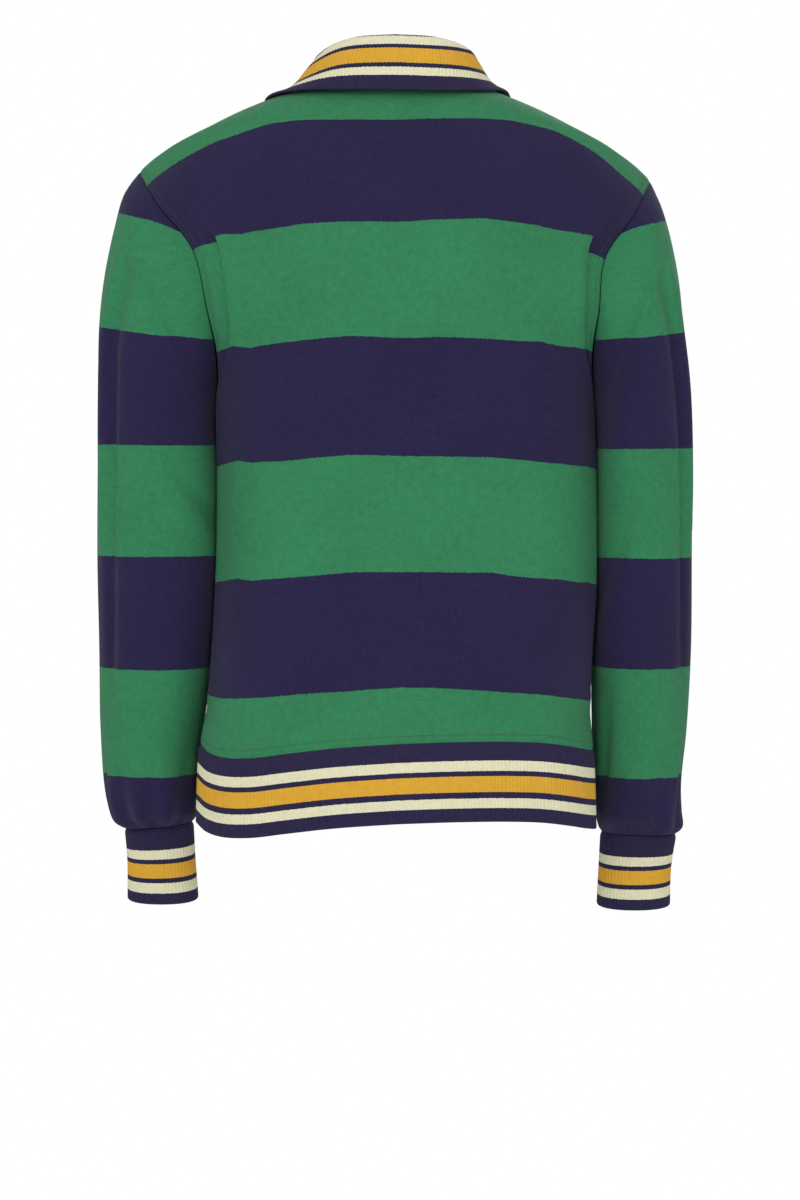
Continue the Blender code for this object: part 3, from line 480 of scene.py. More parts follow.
def stitch_group():
    """Jersey stitches: V after V in upright columns. Height is 0 between stitches and 1 on top."""
    sockets = [("Cloth", VECTOR), ("Column", FLOAT, 0.0013), ("Course", FLOAT, 0.0011), ("Wander", FLOAT, 0.3)]
    group, given, out = new_group("jersey_stitches", sockets, [("Height", FLOAT)])
    math_of = partial(maths, group)
    wander = math_of("SUBTRACT", noise(group, given["Cloth"], 240.0, 1.0), 0.5)
    offset = math_of("MULTIPLY", wander, given["Wander"])
    axes = add_node(group, "ShaderNodeSeparateXYZ", {0: given["Cloth"]}).outputs
    column = math_of("ADD", math_of("DIVIDE", axes["X"], given["Column"]), offset)
    course = math_of("ADD", math_of("DIVIDE", axes["Y"], given["Course"]), offset)
    leg = math_of("ABSOLUTE", math_of("SUBTRACT", math_of("FRACT", column), 0.5))
    rounded = math_of("SINE", math_of("MULTIPLY", leg, FULL_TURN))
    slanted = math_of("MULTIPLY_ADD", leg, 1.2, course)
    rows = math_of("COSINE", math_of("MULTIPLY", slanted, FULL_TURN))
    rows = math_of("MULTIPLY_ADD", rows, 0.5, 0.5)
    height = math_of("MULTIPLY", math_of("MULTIPLY_ADD", rows, 0.6, 0.4), rounded)
    group.links.new(height, out["Height"])
    return group


def worn_yarn_group():
    """Colour of worn yarn: mottled from stitch to stitch, paler in soft patches, with lint on top."""
    sockets = [("Cloth", VECTOR), ("Colour", COLOUR)]
    sockets += [("Mottle", FLOAT, 0.3), ("Fade", FLOAT, 0.2), ("Lint", FLOAT, 0.1)]
    group, given, out = new_group("worn_yarn", sockets, [("Colour", COLOUR), ("Fuzz", FLOAT)])
    math_of = partial(maths, group)
    fine = noise(group, given["Cloth"], 620.0, 3.0, 0.65)
    medium = noise(group, given["Cloth"], 150.0, 3.0, 0.6)
    broad = noise(group, given["Cloth"], 14.0)
    coarse = math_of("MULTIPLY", math_of("SUBTRACT", medium, 0.5), 0.8)
    grain = math_of("ADD", math_of("SUBTRACT", fine, 0.5), coarse)
    faded = math_of("MULTIPLY", math_of("SUBTRACT", broad, 0.42), given["Fade"])
    shade = math_of("ADD", math_of("MULTIPLY_ADD", grain, given["Mottle"], 1.0), faded)
    dyed = add_node(group, "ShaderNodeVectorMath", {0: given["Colour"], 3: shade}, operation="SCALE")
    flecks = add_node(group, "ShaderNodeMapRange", {"Value": fine, "From Min": 0.60, "From Max": 0.78})
    lint = math_of("MULTIPLY", flecks.outputs[0], given["Lint"])
    group.links.new(blend(group, lint, dyed.outputs[0], LINT), out["Colour"])
    group.links.new(grain, out["Fuzz"])
    return group


JERSEY_STITCHES = stitch_group()
WORN_YARN = worn_yarn_group()
print("groups:", JERSEY_STITCHES.name, "and", WORN_YARN.name)

# %% [markdown]
# ## Hoops and bands
# The hoops are knitted in, so a colour changes only between two courses of stitches, and the border
# looks slightly ragged up close. One group turns the height on the cloth into the mask of the navy
# hoops. Another marks a band between two heights, for the cream and orange in the ribs.

# %% Draw the hoops and the bands
HOOP = 0.105  # height of one hoop
GREEN = (0.0272, 0.1800, 0.0760, 1)
NAVY = (0.0153, 0.0108, 0.0480, 1)
RIB_NAVY = (0.0178, 0.0135, 0.0455, 1)
CREAM = (0.620, 0.600, 0.415, 1)
ORANGE = (0.575, 0.312, 0.030, 1)


def hoops_group():
    """1 in every second hoop. The border follows whole stitches, so it is a little ragged."""
    sockets = [("Cloth", VECTOR), ("Hoop", FLOAT, 0.105), ("Column", FLOAT, 0.0013), ("Ragged", FLOAT, 0.0006)]
    group, given, out = new_group("hoops", sockets, [("Mask", FLOAT)])
    math_of = partial(maths, group)
    axes = add_node(group, "ShaderNodeSeparateXYZ", {0: given["Cloth"]}).outputs
    column = math_of("FLOOR", math_of("DIVIDE", axes["X"], given["Column"]))
    jump = add_node(group, "ShaderNodeTexWhiteNoise", {"W": column}, noise_dimensions="1D").outputs["Value"]
    drift = noise(group, given["Cloth"], 60.0)
    ragged = math_of("ADD", math_of("SUBTRACT", jump, 0.5), math_of("SUBTRACT", drift, 0.5))
    height = math_of("MULTIPLY_ADD", ragged, given["Ragged"], axes["Y"])
    number = math_of("FLOOR", math_of("DIVIDE", height, given["Hoop"]))
    group.links.new(math_of("FLOORED_MODULO", number, 2.0), out["Mask"])
    return group


def band_group():
    """1 between two heights on the cloth, with soft and slightly uneven borders."""
    sockets = [("Cloth", VECTOR), ("From", FLOAT, 0.0), ("To", FLOAT, 0.01), ("Ragged", FLOAT, 0.0004)]
    group, given, out = new_group("band", sockets, [("Mask", FLOAT)])
    math_of = partial(maths, group)
    axes = add_node(group, "ShaderNodeSeparateXYZ", {0: given["Cloth"]}).outputs
    ragged = math_of("SUBTRACT", noise(group, given["Cloth"], 500.0), 0.5)
    height = math_of("MULTIPLY_ADD", ragged, given["Ragged"], axes["Y"])
    above = math_of("GREATER_THAN", height, given["From"])
    below = math_of("LESS_THAN", height, given["To"])
    group.links.new(math_of("MULTIPLY", above, below), out["Mask"])
    return group


HOOPS = hoops_group()
BAND = band_group()
print("hoop", HOOP * 1000, "mm")

# %% [markdown]
# ## The cloth materials
# Worn cotton hardly shines, but its loose fibres catch light at a grazing angle, which is what sheen
# is for. Its amount is the same all over, so it is set on the shader itself. The bump takes the
# stitches, and under them a little unevenness of the yarn.

# %% Mix the jerseys
COLUMN, COURSE = 0.0013, 0.0011  # width of a stitch column and height of a course


def cloth_material(name, roughness, tint):
    """A bare cloth: the material, its tree, its shader and its cloth map."""
    looks = {"Roughness": roughness, "Specular IOR Level": 0.18, "Sheen Weight": 0.06, "Sheen Roughness": 0.45}
    made, tree, shader = bare_material(name, **looks, Sheen_Tint=tint)
    return made, tree, shader, add_node(tree, "ShaderNodeUVMap", uv_map=CLOTH_MAP).outputs["UV"]


def add_bump(tree, shader, height, distance, strength):
    bump = add_node(tree, "ShaderNodeBump", {"Height": height, "Distance": distance, "Strength": strength})
    tree.links.new(bump.outputs[0], shader.inputs["Normal"])


def jersey(name, hooped):
    """Cotton jersey: bottle green and navy hoops, or plain navy."""
    made, tree, shader, cloth = cloth_material(name, 0.88, (0.75, 0.85, 0.82, 1))
    stitches = use_group(tree, JERSEY_STITCHES, Cloth=cloth, Column=COLUMN, Course=COURSE, Wander=0.35)
    green = use_group(tree, WORN_YARN, Cloth=cloth, Colour=GREEN, Mottle=0.62, Fade=0.30, Lint=0.05)
    navy = use_group(tree, WORN_YARN, Cloth=cloth, Colour=NAVY, Mottle=0.70, Fade=0.35, Lint=0.045)
    colour = navy["Colour"]
    if hooped:
        hoops = use_group(tree, HOOPS, Cloth=cloth, Hoop=HOOP, Column=COLUMN, Ragged=0.0007)
        colour = blend(tree, hoops["Mask"], green["Colour"], colour)
    tree.links.new(colour, shader.inputs["Base Color"])
    height = maths(tree, "MULTIPLY_ADD", green["Fuzz"], 0.9, stitches["Height"])
    add_bump(tree, shader, height, 0.0004, 0.55)
    return made


HOOPED = jersey("hooped_jersey", hooped=True)
PLAIN_NAVY = jersey("placket_jersey", hooped=False)
print("materials:", HOOPED.name, "and", PLAIN_NAVY.name)

# %% [markdown]
# ## Dyes for the ribs
# A rib gets its stripes while it is knitted, so its bands lie at fixed heights above the free edge.
# One group colours all three yarns, and the mask of each band chooses between them. The heights come
# from the photograph, band by band, because the cuffs, the hem and the collar aren't striped alike.

# %% Dye the ribs
RIB_BANDS = {
    "hem": {"cream": [(0.0122, 0.0208), (0.0447, 0.0537)], "orange": [(0.0262, 0.0402)]},
    "cuff": {"cream": [(0.0095, 0.0181), (0.0383, 0.0464)], "orange": [(0.0221, 0.0343)]},
    "collar": {"cream": [(0.0132, 0.0210), (0.0443, 0.0521)], "orange": [(0.0253, 0.0404)]},
}


def rib_material(name, bands):
    """Navy rib knitting with cream and orange bands at heights above its free edge."""
    made, tree, shader, cloth = cloth_material(name, 0.90, (0.80, 0.80, 0.85, 1))
    navy = use_group(tree, WORN_YARN, Cloth=cloth, Colour=RIB_NAVY, Mottle=0.7, Fade=0.3, Lint=0.05)
    colour = navy["Colour"]
    for dye, shade in (("cream", CREAM), ("orange", ORANGE)):
        yarn = use_group(tree, WORN_YARN, Cloth=cloth, Colour=shade, Mottle=0.30, Fade=0.15, Lint=0.0)
        for low, high in bands[dye]:
            band = use_group(tree, BAND, Cloth=cloth, From=low, To=high, Ragged=0.0011)
            colour = blend(tree, band["Mask"], colour, yarn["Colour"])
    tree.links.new(colour, shader.inputs["Base Color"])
    add_bump(tree, shader, navy["Fuzz"], 0.0006, 0.5)
    return made


HEM_RIB, CUFF_RIB, COLLAR_RIB = (rib_material(name + "_rib", bands) for name, bands in RIB_BANDS.items())
print("three ribs dyed")

# %% [markdown]
# ## Cloth with two faces
# A single sheet of faces has no edge, so it looks like paper where the shirt is open. Each piece is
# therefore a shell: the outer grid, the same grid moved in along its normals, and a rim between. At a
# seam both pieces turn in a little, and that makes the shallow groove that sewing leaves.

# %% Turn grids into shells
CLOTH = 0.0018
SEAM_ROLL, SEAM_WIDTH = 0.0008, 0.0020  # depth and width of the groove beside a seam


def normals_of(points, closed=False):
    """Outward directions on a grid whose columns go to the right as seen from outside."""
    if closed:
        across = np.roll(points, -1, axis=1) - np.roll(points, 1, axis=1)
    else:
        across = np.gradient(points, axis=1)
    return unit(np.cross(across, np.gradient(points, axis=0)))


def grid_faces(rows, columns, closed, start=0, flip=False):
    """The faces of a grid as an array of corners."""
    r = np.arange(rows - 1)[:, None]
    c = np.arange(columns if closed else columns - 1)[None, :]
    d = (c + 1) % columns
    corners = [r * columns + c, r * columns + d, (r + 1) * columns + d, (r + 1) * columns + c]
    corners = corners[::-1] if flip else corners
    return start + np.stack([np.broadcast_to(k, (rows - 1, c.shape[1])) for k in corners], axis=-1)


def shell(name, outer, inner, cloth, closed, material, slot=None, sharp=50):
    """A closed shell between two grids. cloth is (across, up) for each point and, if the grid is
    closed, one more column where it meets itself. slot leaves faces out: row, first column, end."""
    rows, columns = outer.shape[:2]
    keep = np.ones((rows - 1, columns if closed else columns - 1), bool)
    if slot:
        keep[slot[0] :, slot[1] : slot[2]] = False
    front = grid_faces(rows, columns, closed)[keep]
    back = grid_faces(rows, columns, closed, rows * columns, flip=True)[keep]
    points = np.concatenate([outer.reshape(-1, 3), inner.reshape(-1, 3)])
    r, c = np.nonzero(keep)
    corner = [(r, c), (r, c + 1), (r + 1, c + 1), (r + 1, c)]
    on_cloth = np.stack([cloth[a, b % cloth.shape[1]] for a, b in corner], axis=1)
    rim, rim_cloth = rim_of(front, on_cloth, rows * columns)
    faces = np.concatenate([front, back, rim])
    used = np.unique(faces)
    new = np.zeros(len(points), int)
    new[used] = np.arange(len(used))
    made = add_mesh(name, points[used], new[faces].tolist(), material)
    layer = made.data.uv_layers.new(name=CLOTH_MAP)
    maps = np.concatenate([on_cloth, on_cloth[:, ::-1], rim_cloth])
    layer.data.foreach_set("uv", maps.astype(np.float32).ravel())
    made.data.set_sharp_from_angle(angle=math.radians(sharp))
    return made


def rim_of(faces, on_cloth, step):
    """The faces between the free edges of the outer grid and those of the inner one."""
    p, q = faces.ravel(), np.roll(faces, -1, axis=1).ravel()
    u, v = on_cloth.reshape(-1, 2), np.roll(on_cloth, -1, axis=1).reshape(-1, 2)
    edges = list(zip(p.tolist(), q.tolist(), strict=True))
    taken = set(edges)
    free = np.array([edge[::-1] not in taken for edge in edges])
    p, q, u, v = p[free], q[free], u[free], v[free]
    return np.stack([q, p, p + step, q + step], axis=1), np.stack([v, u, u, v], axis=1)


def groove(distance):
    """How far cloth turns in, at a distance from its seam."""
    return -SEAM_ROLL * np.exp(-((distance / SEAM_WIDTH) ** 2))


print("shell builder ready")

# %% [markdown]
# ## Folds placed one by one
# Cloth that hangs from a shoulder falls in a few long folds, and they matter more than any texture.
# Each fold here is one row of a table: where it starts and ends on the cloth, how wide it is, and how
# far it stands out or sinks in. Simulating the drape would also give folds, but not these ones, so
# the table is the better tool when a picture has to be matched.

# %% Press folds into a grid
FOLD_ENDS = 0.35  # share of a fold's depth that is left at its ends


def along_fold(points, start, end, width):
    """1 on the line between a fold's ends, falling softly to 0 away from it and past its ends."""
    way = end - start
    share = np.clip(((points - start) @ way) / max(float(way @ way), 1e-12), 0, 1)
    away = np.linalg.norm(points - start - share[..., None] * way, axis=-1)
    full = np.sin(math.pi * np.clip(share, 0.02, 0.98)) ** 0.5
    return np.exp(-((away / width) ** 2)) * (FOLD_ENDS + (1 - FOLD_ENDS) * full)


def folded(points, places, folds, side, scale, closed=False, out=1):
    """The grid with one side's folds pushed along its normals; out is -1 where those point inwards."""
    normals = out * normals_of(points, closed)
    push = np.zeros(points.shape[:2])
    for k in np.flatnonzero(folds["side"] == side):
        ends = [np.array([folds["u" + e][k], folds["v" + e][k]]) * scale for e in "01"]
        push += folds["depth"][k] * along_fold(places * scale, *ends, folds["width"][k])
    return points + push[..., None] * normals


BACK_FOLDS = table("""
side    u0    v0    u1    v1  width   depth
   1 0.825 0.462  0.83 0.335   0.01   0.003
   1  0.55  0.52   0.5   0.4   0.03 -0.0012
   1  0.72   0.3  0.66  0.14  0.022 -0.0012
   1  0.88  0.32  0.88  0.05 0.0115   0.005
   1   0.4  0.09  0.46  0.01  0.018  0.0012
  -1 0.865 0.462  0.87 0.335 0.0095   0.003
  -1  0.76  0.52 0.735  0.38  0.016 -0.0014
  -1  0.72 0.545  0.56  0.56  0.009  0.0012
  -1   0.5   0.5  0.58  0.38  0.028 -0.0012
  -1  0.88 0.325  0.88  0.05 0.0115  0.0046
  -1  0.34  0.07   0.3     0  0.016   0.001
  -1   0.7  0.06  0.72     0  0.014 -0.0012
""")
FRONT_FOLDS = table("""
side   u0   v0   u1   v1 width   depth
   1 0.86 0.47  0.9 0.35 0.015   0.003
   1  0.7 0.42  0.6  0.3 0.024 -0.0018
   1 0.88 0.26  0.8 0.08 0.018  0.0016
   1 0.42 0.24 0.36 0.06 0.026 -0.0014
  -1 0.85 0.46 0.89 0.35 0.015  0.0028
  -1 0.72 0.43 0.58 0.31 0.024 -0.0016
  -1  0.9 0.24 0.84 0.06 0.018  0.0015
  -1 0.38 0.22 0.44 0.05 0.026 -0.0012
""")
print(len(BACK_FOLDS["side"]), "folds in the back and", len(FRONT_FOLDS["side"]), "in the front")

# %% [markdown]
# ## Back and front
# Both panels read the same table of levels, so their side, armhole and shoulder edges are shared
# lines. The columns stand closer together near the armhole, where the back folds over itself. The
# cloth map gives each point its place on the knitting, so the hoops sag wherever the levels do.

# %% Lay out the back and the front
BODY_ROWS, ARMHOLE_ROWS, SHOULDER_ROWS = 78, 64, 12
PLACKET_WIDTH = 0.034
BACK_REACH = 0.21  # distance from the middle of the back to its edge, which turns u into a length
HOOP_WEFTS = (-0.055, 0.0472, 0.1483, 0.2505, 0.3527, 0.4560, 0.5522, 0.6544)  # where a hoop starts
TUCKS = {1: (0.842, 0.0055), -1: (0.886, 0.0165)}  # where a fold beside an armhole starts, what it takes up
TUCK_RISES, TUCK_FADES = (0.365, 0.050), (0.475, 0.030)  # the wefts where it starts and stops taking cloth up
PLEAT = 0.0046  # depth of the step at the edge of such a fold
PLEAT_EDGE, PLEAT_BACK = 0.008, 0.090  # shares over which it drops, and comes back
PLEAT_RISES, PLEAT_FADES = (0.325, 0.030), (0.452, 0.016)  # the wefts where it starts and ends
PLEAT_COLUMNS = (0.842, 0.846, 0.850, 0.886, 0.890, 0.894)
# How far the worn cloth has slid down, in mm: the first line gives distances from the middle of the back,
# and each other line starts with its weft.
SLIDES = numbers("""
     0 -0.215 -0.185 -0.16 -0.141 -0.121 -0.101 -0.074 -0.039    0 0.049 0.085 0.111 0.142 0.16 0.19 0.215
     0      0      0     0      0      0      0      0      0    0     0     0     0     0    0    0     0
0.0472    4.1    4.1     5      5      5    4.6    3.2    0.9 -0.2   1.3   0.7   0.4     0  0.2  0.2   0.2
0.1483    0.9    0.4   2.2    1.4    1.8    1.7   -0.9      0    0  -0.4   1.8   2.2   2.6 -0.9 -0.9  -0.9
0.2505    0.9      0   1.8    1.8    2.2    1.4    0.5    0.9  0.9  -0.9   0.9   1.8   0.9 -2.7 -2.7  -2.7
0.3527   -1.5   -2.4  -0.5    0.9   -0.9    0.5    0.5      0  1.3  -1.3   0.5   1.4   2.7 -1.8 -1.8  -1.8
 0.456    -14    -14  -8.5   -4.9   -4.5   -3.6   -3.6   -0.9  1.8   0.9   0.5   1.4   1.4 -2.7   -5    -5
0.5522      8    0.9  -2.2   -5.8   -6.3   -6.8   -4.1   -1.3  1.3     0  -3.2  -3.6   1.8  2.7  6.8   8.5
 0.604      0      0     0      0      0      0      0      0    0     0     0     0     0    0    0     0
""")
SHIFT_AT, SHIFT_WEFTS, HOOP_SHIFTS = SLIDES[0, 1:], SLIDES[1:, 0], SLIDES[1:, 1:] / 1000
SEAM_HOLDS, HEM_HOLDS = 0.07, 0.02  # share beside a side seam, and weft above the hem seam, that stay unfolded
MEASURE_POINTS = 60  # enough of them to measure half a level
NEAR_SEAM = (0.0007, 0.0015, 0.0026, 0.0042, 0.0065)  # distances of the last columns from the seam


def panel_shares(even, fine, extra=()):
    """Shares of a panel's half width: wide columns, narrow ones from 0.72 on, and a few at the seam."""
    last = 1 - NEAR_SEAM[-1] / BACK_REACH
    ends = [1 - d / BACK_REACH for d in reversed(NEAR_SEAM)]
    parts = [np.linspace(0, 0.72, even, endpoint=False), np.linspace(0.72, last, fine)[:-1], ends, [1]]
    return np.unique(np.concatenate([*parts, extra]))


def panel_wefts():
    """The levels of both panels, from the hem seam to the neck."""
    body = np.linspace(0, UNDERARM, BODY_ROWS, endpoint=False)
    body = np.sort(np.concatenate([body, NEAR_SEAM[:3]]))
    armhole = np.linspace(UNDERARM, TIP, ARMHOLE_ROWS, endpoint=False)
    return np.concatenate([body, armhole, np.linspace(TIP, NECK, SHOULDER_ROWS + 1)])


def front_shares(weft, shares):
    """The front's shares start again at the placket's edge, so that a column runs along it."""
    row = half_row(weft, 1, True, np.linspace(0, 1, MEASURE_POINTS))
    edge = 0.5 * PLACKET_WIDTH / lengths_along(row)[-1]
    return np.concatenate([[0], edge + (1 - edge) * shares])


def pleat(side, wefts, shares):
    """How far the cloth beside an armhole drops behind the edge of the fold there."""
    start = TUCKS[side][0]
    drop = between(shares, (start, PLEAT_EDGE), (start + PLEAT_EDGE, PLEAT_BACK))
    return PLEAT * between(wefts, PLEAT_RISES, PLEAT_FADES)[:, None] * drop


def knitting_at(weft, side, front, across, width):
    """Height on the knitting along one half level, with what the folds take up and where it has slid."""
    up = np.full(len(across), np.interp(weft, HOOP_WEFTS, HOOP * np.arange(len(HOOP_WEFTS))))
    if front:
        return up
    start, tuck = TUCKS[side]
    taken = tuck * between(weft, TUCK_RISES, TUCK_FADES) * smooth_step((across - start) / PLEAT_EDGE)
    return up + taken + np.interp(side * width, SHIFT_AT, spline(SHIFT_WEFTS, HOOP_SHIFTS, weft))


def half_panel(name, side, wefts, shares):
    """One half of a panel and its cloth map, with columns from the middle outwards."""
    front = name == "front"
    rows, maps = [], []
    for weft in wefts:
        across = front_shares(weft, shares) if front else shares
        row = half_row(weft, side, front, across)
        rows.append(row)
        width = lengths_along(row)
        maps.append(np.stack([side * width, knitting_at(weft, side, front, across, width)], axis=1))
    points = np.array(rows)
    u = np.linspace(0, 1, points.shape[1]) if front else shares
    places = np.stack(np.meshgrid(u, wefts), axis=2)
    folds, out = (FRONT_FOLDS, side) if front else (BACK_FOLDS, -side)
    moved = folded(points, places, folds, side, np.array([BACK_REACH, 1.0]), out=out)
    if not front:
        moved -= (out * pleat(side, wefts, shares))[..., None] * normals_of(points)
    held = smooth_step((1 - u) / SEAM_HOLDS)[None, :, None]
    low = smooth_step(wefts / HEM_HOLDS)[:, None, None]
    return points + (moved - points) * held * low, np.array(maps)


def both_halves(name, wefts, shares):
    """The whole panel as one grid whose columns go to the right as seen from outside."""
    left, right = (half_panel(name, side, wefts, shares) for side in (1, -1))
    first, last = (left, right) if name == "back" else (right, left)
    return [np.concatenate([a[:, ::-1], b[:, 1:]], axis=1) for a, b in zip(first, last, strict=True)]


WEFTS = panel_wefts()
back_points, back_cloth = both_halves("back", WEFTS, panel_shares(32, 30, PLEAT_COLUMNS))
front_points, front_cloth = both_halves("front", WEFTS, panel_shares(34, 14))
print("back", back_points.shape[:2], "front", front_points.shape[:2])

# %% [markdown]
# ## From grid to cloth
# A seam pulls the cloth in along its edge. The outer face dips there by a fraction of a millimetre,
# and the inner face follows 1.8 mm behind it. The front gets a slot below the neck, because a half
# placket is cut into the cloth and not laid over it.

# %% Sew in the edges and make the shells
NECK_SLOT = 0.150  # the placket's slot, below the neck seam


def edge_distance(points, closed=False):
    """How far each point lies from the nearest side, top or bottom edge of its grid."""
    rise = lengths_along(points)
    nearest = np.minimum(rise, rise[-1] - rise)
    if closed:
        return nearest
    run = lengths_along(points.transpose(1, 0, 2)).T
    return np.minimum(nearest, np.minimum(run, run[:, -1:] - run))


def sewn(points, closed=False):
    """The outer and inner grids of a piece whose edges turn in at its seams."""
    normals = normals_of(points, closed)
    outer = points + groove(edge_distance(points, closed))[..., None] * normals
    return outer, outer - CLOTH * normals


def slot_of(points, wefts):
    """The row where the placket's slot ends, and its first and last column."""
    middle = points.shape[1] // 2
    heights = points[:, middle, 2]
    row = int(np.argmin(np.abs(heights - (heights[-1] - NECK_SLOT))))
    return row, middle - 1, middle + 1


back = shell("back_panel", *sewn(back_points), back_cloth, False, HOOPED)
slot = slot_of(front_points, WEFTS)
front = shell("front_panel", *sewn(front_points), front_cloth, False, HOOPED, slot=slot)
print("faces:", len(back.data.polygons), "in the back,", len(front.data.polygons), "in the front")

# %% [markdown]
# ## The sleeves
# The first ring of a sleeve is the armhole line, so its points are simply read off the panels' edges.
# Knitted hoops on a worn sleeve aren't level where it leaves the shoulder: they run down towards the
# armpit, and that slant is measured here. It only changes the cloth map, not the surface.

# %% Lay out the sleeves
STEP_COUNTS = (7, 8, 10, 11, 13, 16, 18, 18, 16, 12, 9, 6, 6)  # rows between each ring and the next
SLEEVE_ROUND, STEP_LENGTH = 0.42, 0.05  # usual distance round a sleeve, and from ring to ring
ARMHOLE_HOLDS, CUFF_HOLDS = 1.5, 0.5  # rings at each end over which its folds grow
EVEN_FROM = 4  # the ring from which its columns are spread evenly
SLEEVE_FOLDS = table("""
side    u0   v0    u1   v1  width   depth
   1 0.135  2.2 0.125  8.4 0.0085 -0.0082
   1 0.095  2.2 0.088  6.6 0.0085  0.0036
   1  0.17    2  0.15  4.6  0.022  0.0018
   1  0.32    3   0.4    4  0.012 -0.0022
   1   0.3  5.6  0.43  6.2  0.011 -0.0042
   1   0.3  6.3  0.43  6.7  0.015  0.0018
   1  0.23  6.6   0.2  9.5  0.024 -0.0016
   1  0.06  9.2  0.09 12.4  0.011 -0.0048
   1  0.12   10  0.13 12.6  0.009   0.003
   1 0.165  9.4  0.18 12.4  0.011 -0.0036
   1 0.215 10.4 0.215 12.6  0.008   0.003
   1 0.255  9.6 0.245 12.5   0.01  -0.004
   1  0.31 10.2   0.3 12.6  0.009  0.0032
   1  0.37  9.5  0.36 12.5  0.011 -0.0036
   1  0.56  9.6  0.55 12.5  0.011 -0.0034
   1  0.64  9.2  0.66 12.4  0.012  -0.004
   1  0.74  9.5  0.73 12.5  0.011 -0.0036
   1   0.8  5.4  0.68  6.4  0.016  -0.003
   1  0.84  9.4  0.85 12.5  0.011  -0.004
   1  0.92  9.8  0.93 12.5   0.01 -0.0032
  -1 0.135  2.3 0.122  8.2 0.0085  -0.008
  -1 0.095  2.3 0.086  6.6 0.0085  0.0036
  -1  0.18  2.2  0.16  4.4  0.022  0.0016
  -1   0.3  6.6  0.42  7.3  0.011 -0.0038
  -1  0.29  7.2  0.42  7.9  0.014   0.002
  -1  0.13    9  0.12 10.8  0.008  0.0026
  -1  0.36  8.6   0.4 10.6   0.01  -0.004
  -1  0.08  9.4   0.1 12.4   0.01  -0.004
  -1  0.15 10.2  0.16 12.6  0.009  0.0028
  -1   0.2  9.8 0.205 12.5   0.01 -0.0036
  -1  0.26   10 0.255 12.5   0.01 -0.0034
  -1  0.32  9.8  0.31 12.5   0.01 -0.0036
  -1  0.58  9.4  0.56 12.5  0.011 -0.0036
  -1  0.66  9.6  0.67 12.4  0.011 -0.0038
  -1  0.72  9.2   0.7 12.4  0.012  -0.004
  -1  0.79  5.6  0.67  6.6  0.016 -0.0028
  -1  0.83  9.6  0.84 12.5  0.011 -0.0036
  -1  0.93  9.6  0.92 12.5   0.01 -0.0034
""")


def sleeve_rings(side, ring):
    """The sleeve's rings from the armhole to the cuff seam; its columns end evenly spread."""
    closed_ring = np.concatenate([ring, ring[:1]])
    own = lengths_along(closed_ring) / lengths_along(closed_ring)[-1]
    half = len(ring) // 2
    even = np.linspace(0, 1, len(ring) + 1)
    back_half, front_half = own / own[half] * 0.5, 0.5 + (own - own[half]) / (1 - own[half]) * 0.5
    balanced = np.where(np.arange(len(ring) + 1) <= half, back_half, front_half)
    knots = [ring]
    for step in SLEEVE["step"]:
        mix = float(smooth_step(step / EVEN_FROM))
        knots.append(ring_of_arm(SLEEVE, step, side, (mix * even + (1 - mix) * balanced)[:-1]))
    places = np.concatenate([[0], SLEEVE["step"]])
    parts = [np.linspace(k, k + 1, count, endpoint=False) for k, count in enumerate(STEP_COUNTS)]
    steps = np.concatenate([*parts, [places[-1]]])
    return spline(places, np.array(knots), steps), steps


def sleeve_folds(grid, steps, turn, side):
    """The sleeve's folds, faded to nothing at the armhole and at the cuff seam."""
    moved, scale = grid.copy(), np.array([SLEEVE_ROUND, STEP_LENGTH])
    for lap in (-1, 0, 1):
        places = np.stack(np.meshgrid(turn + lap, steps), axis=2)
        moved += folded(grid, places, SLEEVE_FOLDS, side, scale, closed=True) - grid
    held = smooth_step(steps / ARMHOLE_HOLDS) * smooth_step((steps.max() - steps) / CUFF_HOLDS)
    return grid + (moved - grid) * held[:, None, None]


print(sum(STEP_COUNTS) + 1, "rings in each sleeve")

# %% [markdown]
# ## Hoops on the sleeves
# The two sleeves hang differently, so the heights at which their hoops change are listed for each.
# These heights were read off a picture with perspective, in which a nearer point looks farther from
# the middle, and the map takes that back out. Moving the map instead of the surface keeps the
# sleeve's shape free.

# %% Map the hoops of the sleeves
HOOP_LEVELS = {  # where a colour changes on the left and on the right sleeve
    1: (-0.91, -0.6130, -0.5170, -0.4180, -0.3185, -0.2120, -0.1096, 0.1),
    -1: (-0.91, -0.6140, -0.5160, -0.4195, -0.3219, -0.2167, -0.1168, 0.1),
}
LEVEL_MARKS = (-0.085, 0.210, 0.315, 0.420, 0.525, 0.630, 0.735, 0.965)  # and its height on the cloth
SLANT_FROM, SLANT_TO = -0.32, -0.12  # the hoops slant from here up
LEAN_SHARE = 0.55  # how much of the arm's slope the hoops follow
STEEPEST, SLANT_POWER = 1.6, 1.9  # how the slant grows towards the shoulder
SLANT_ACROSS, SLANT_CURVE = 0.18, 6.5  # its size across the sleeve, and how it curves


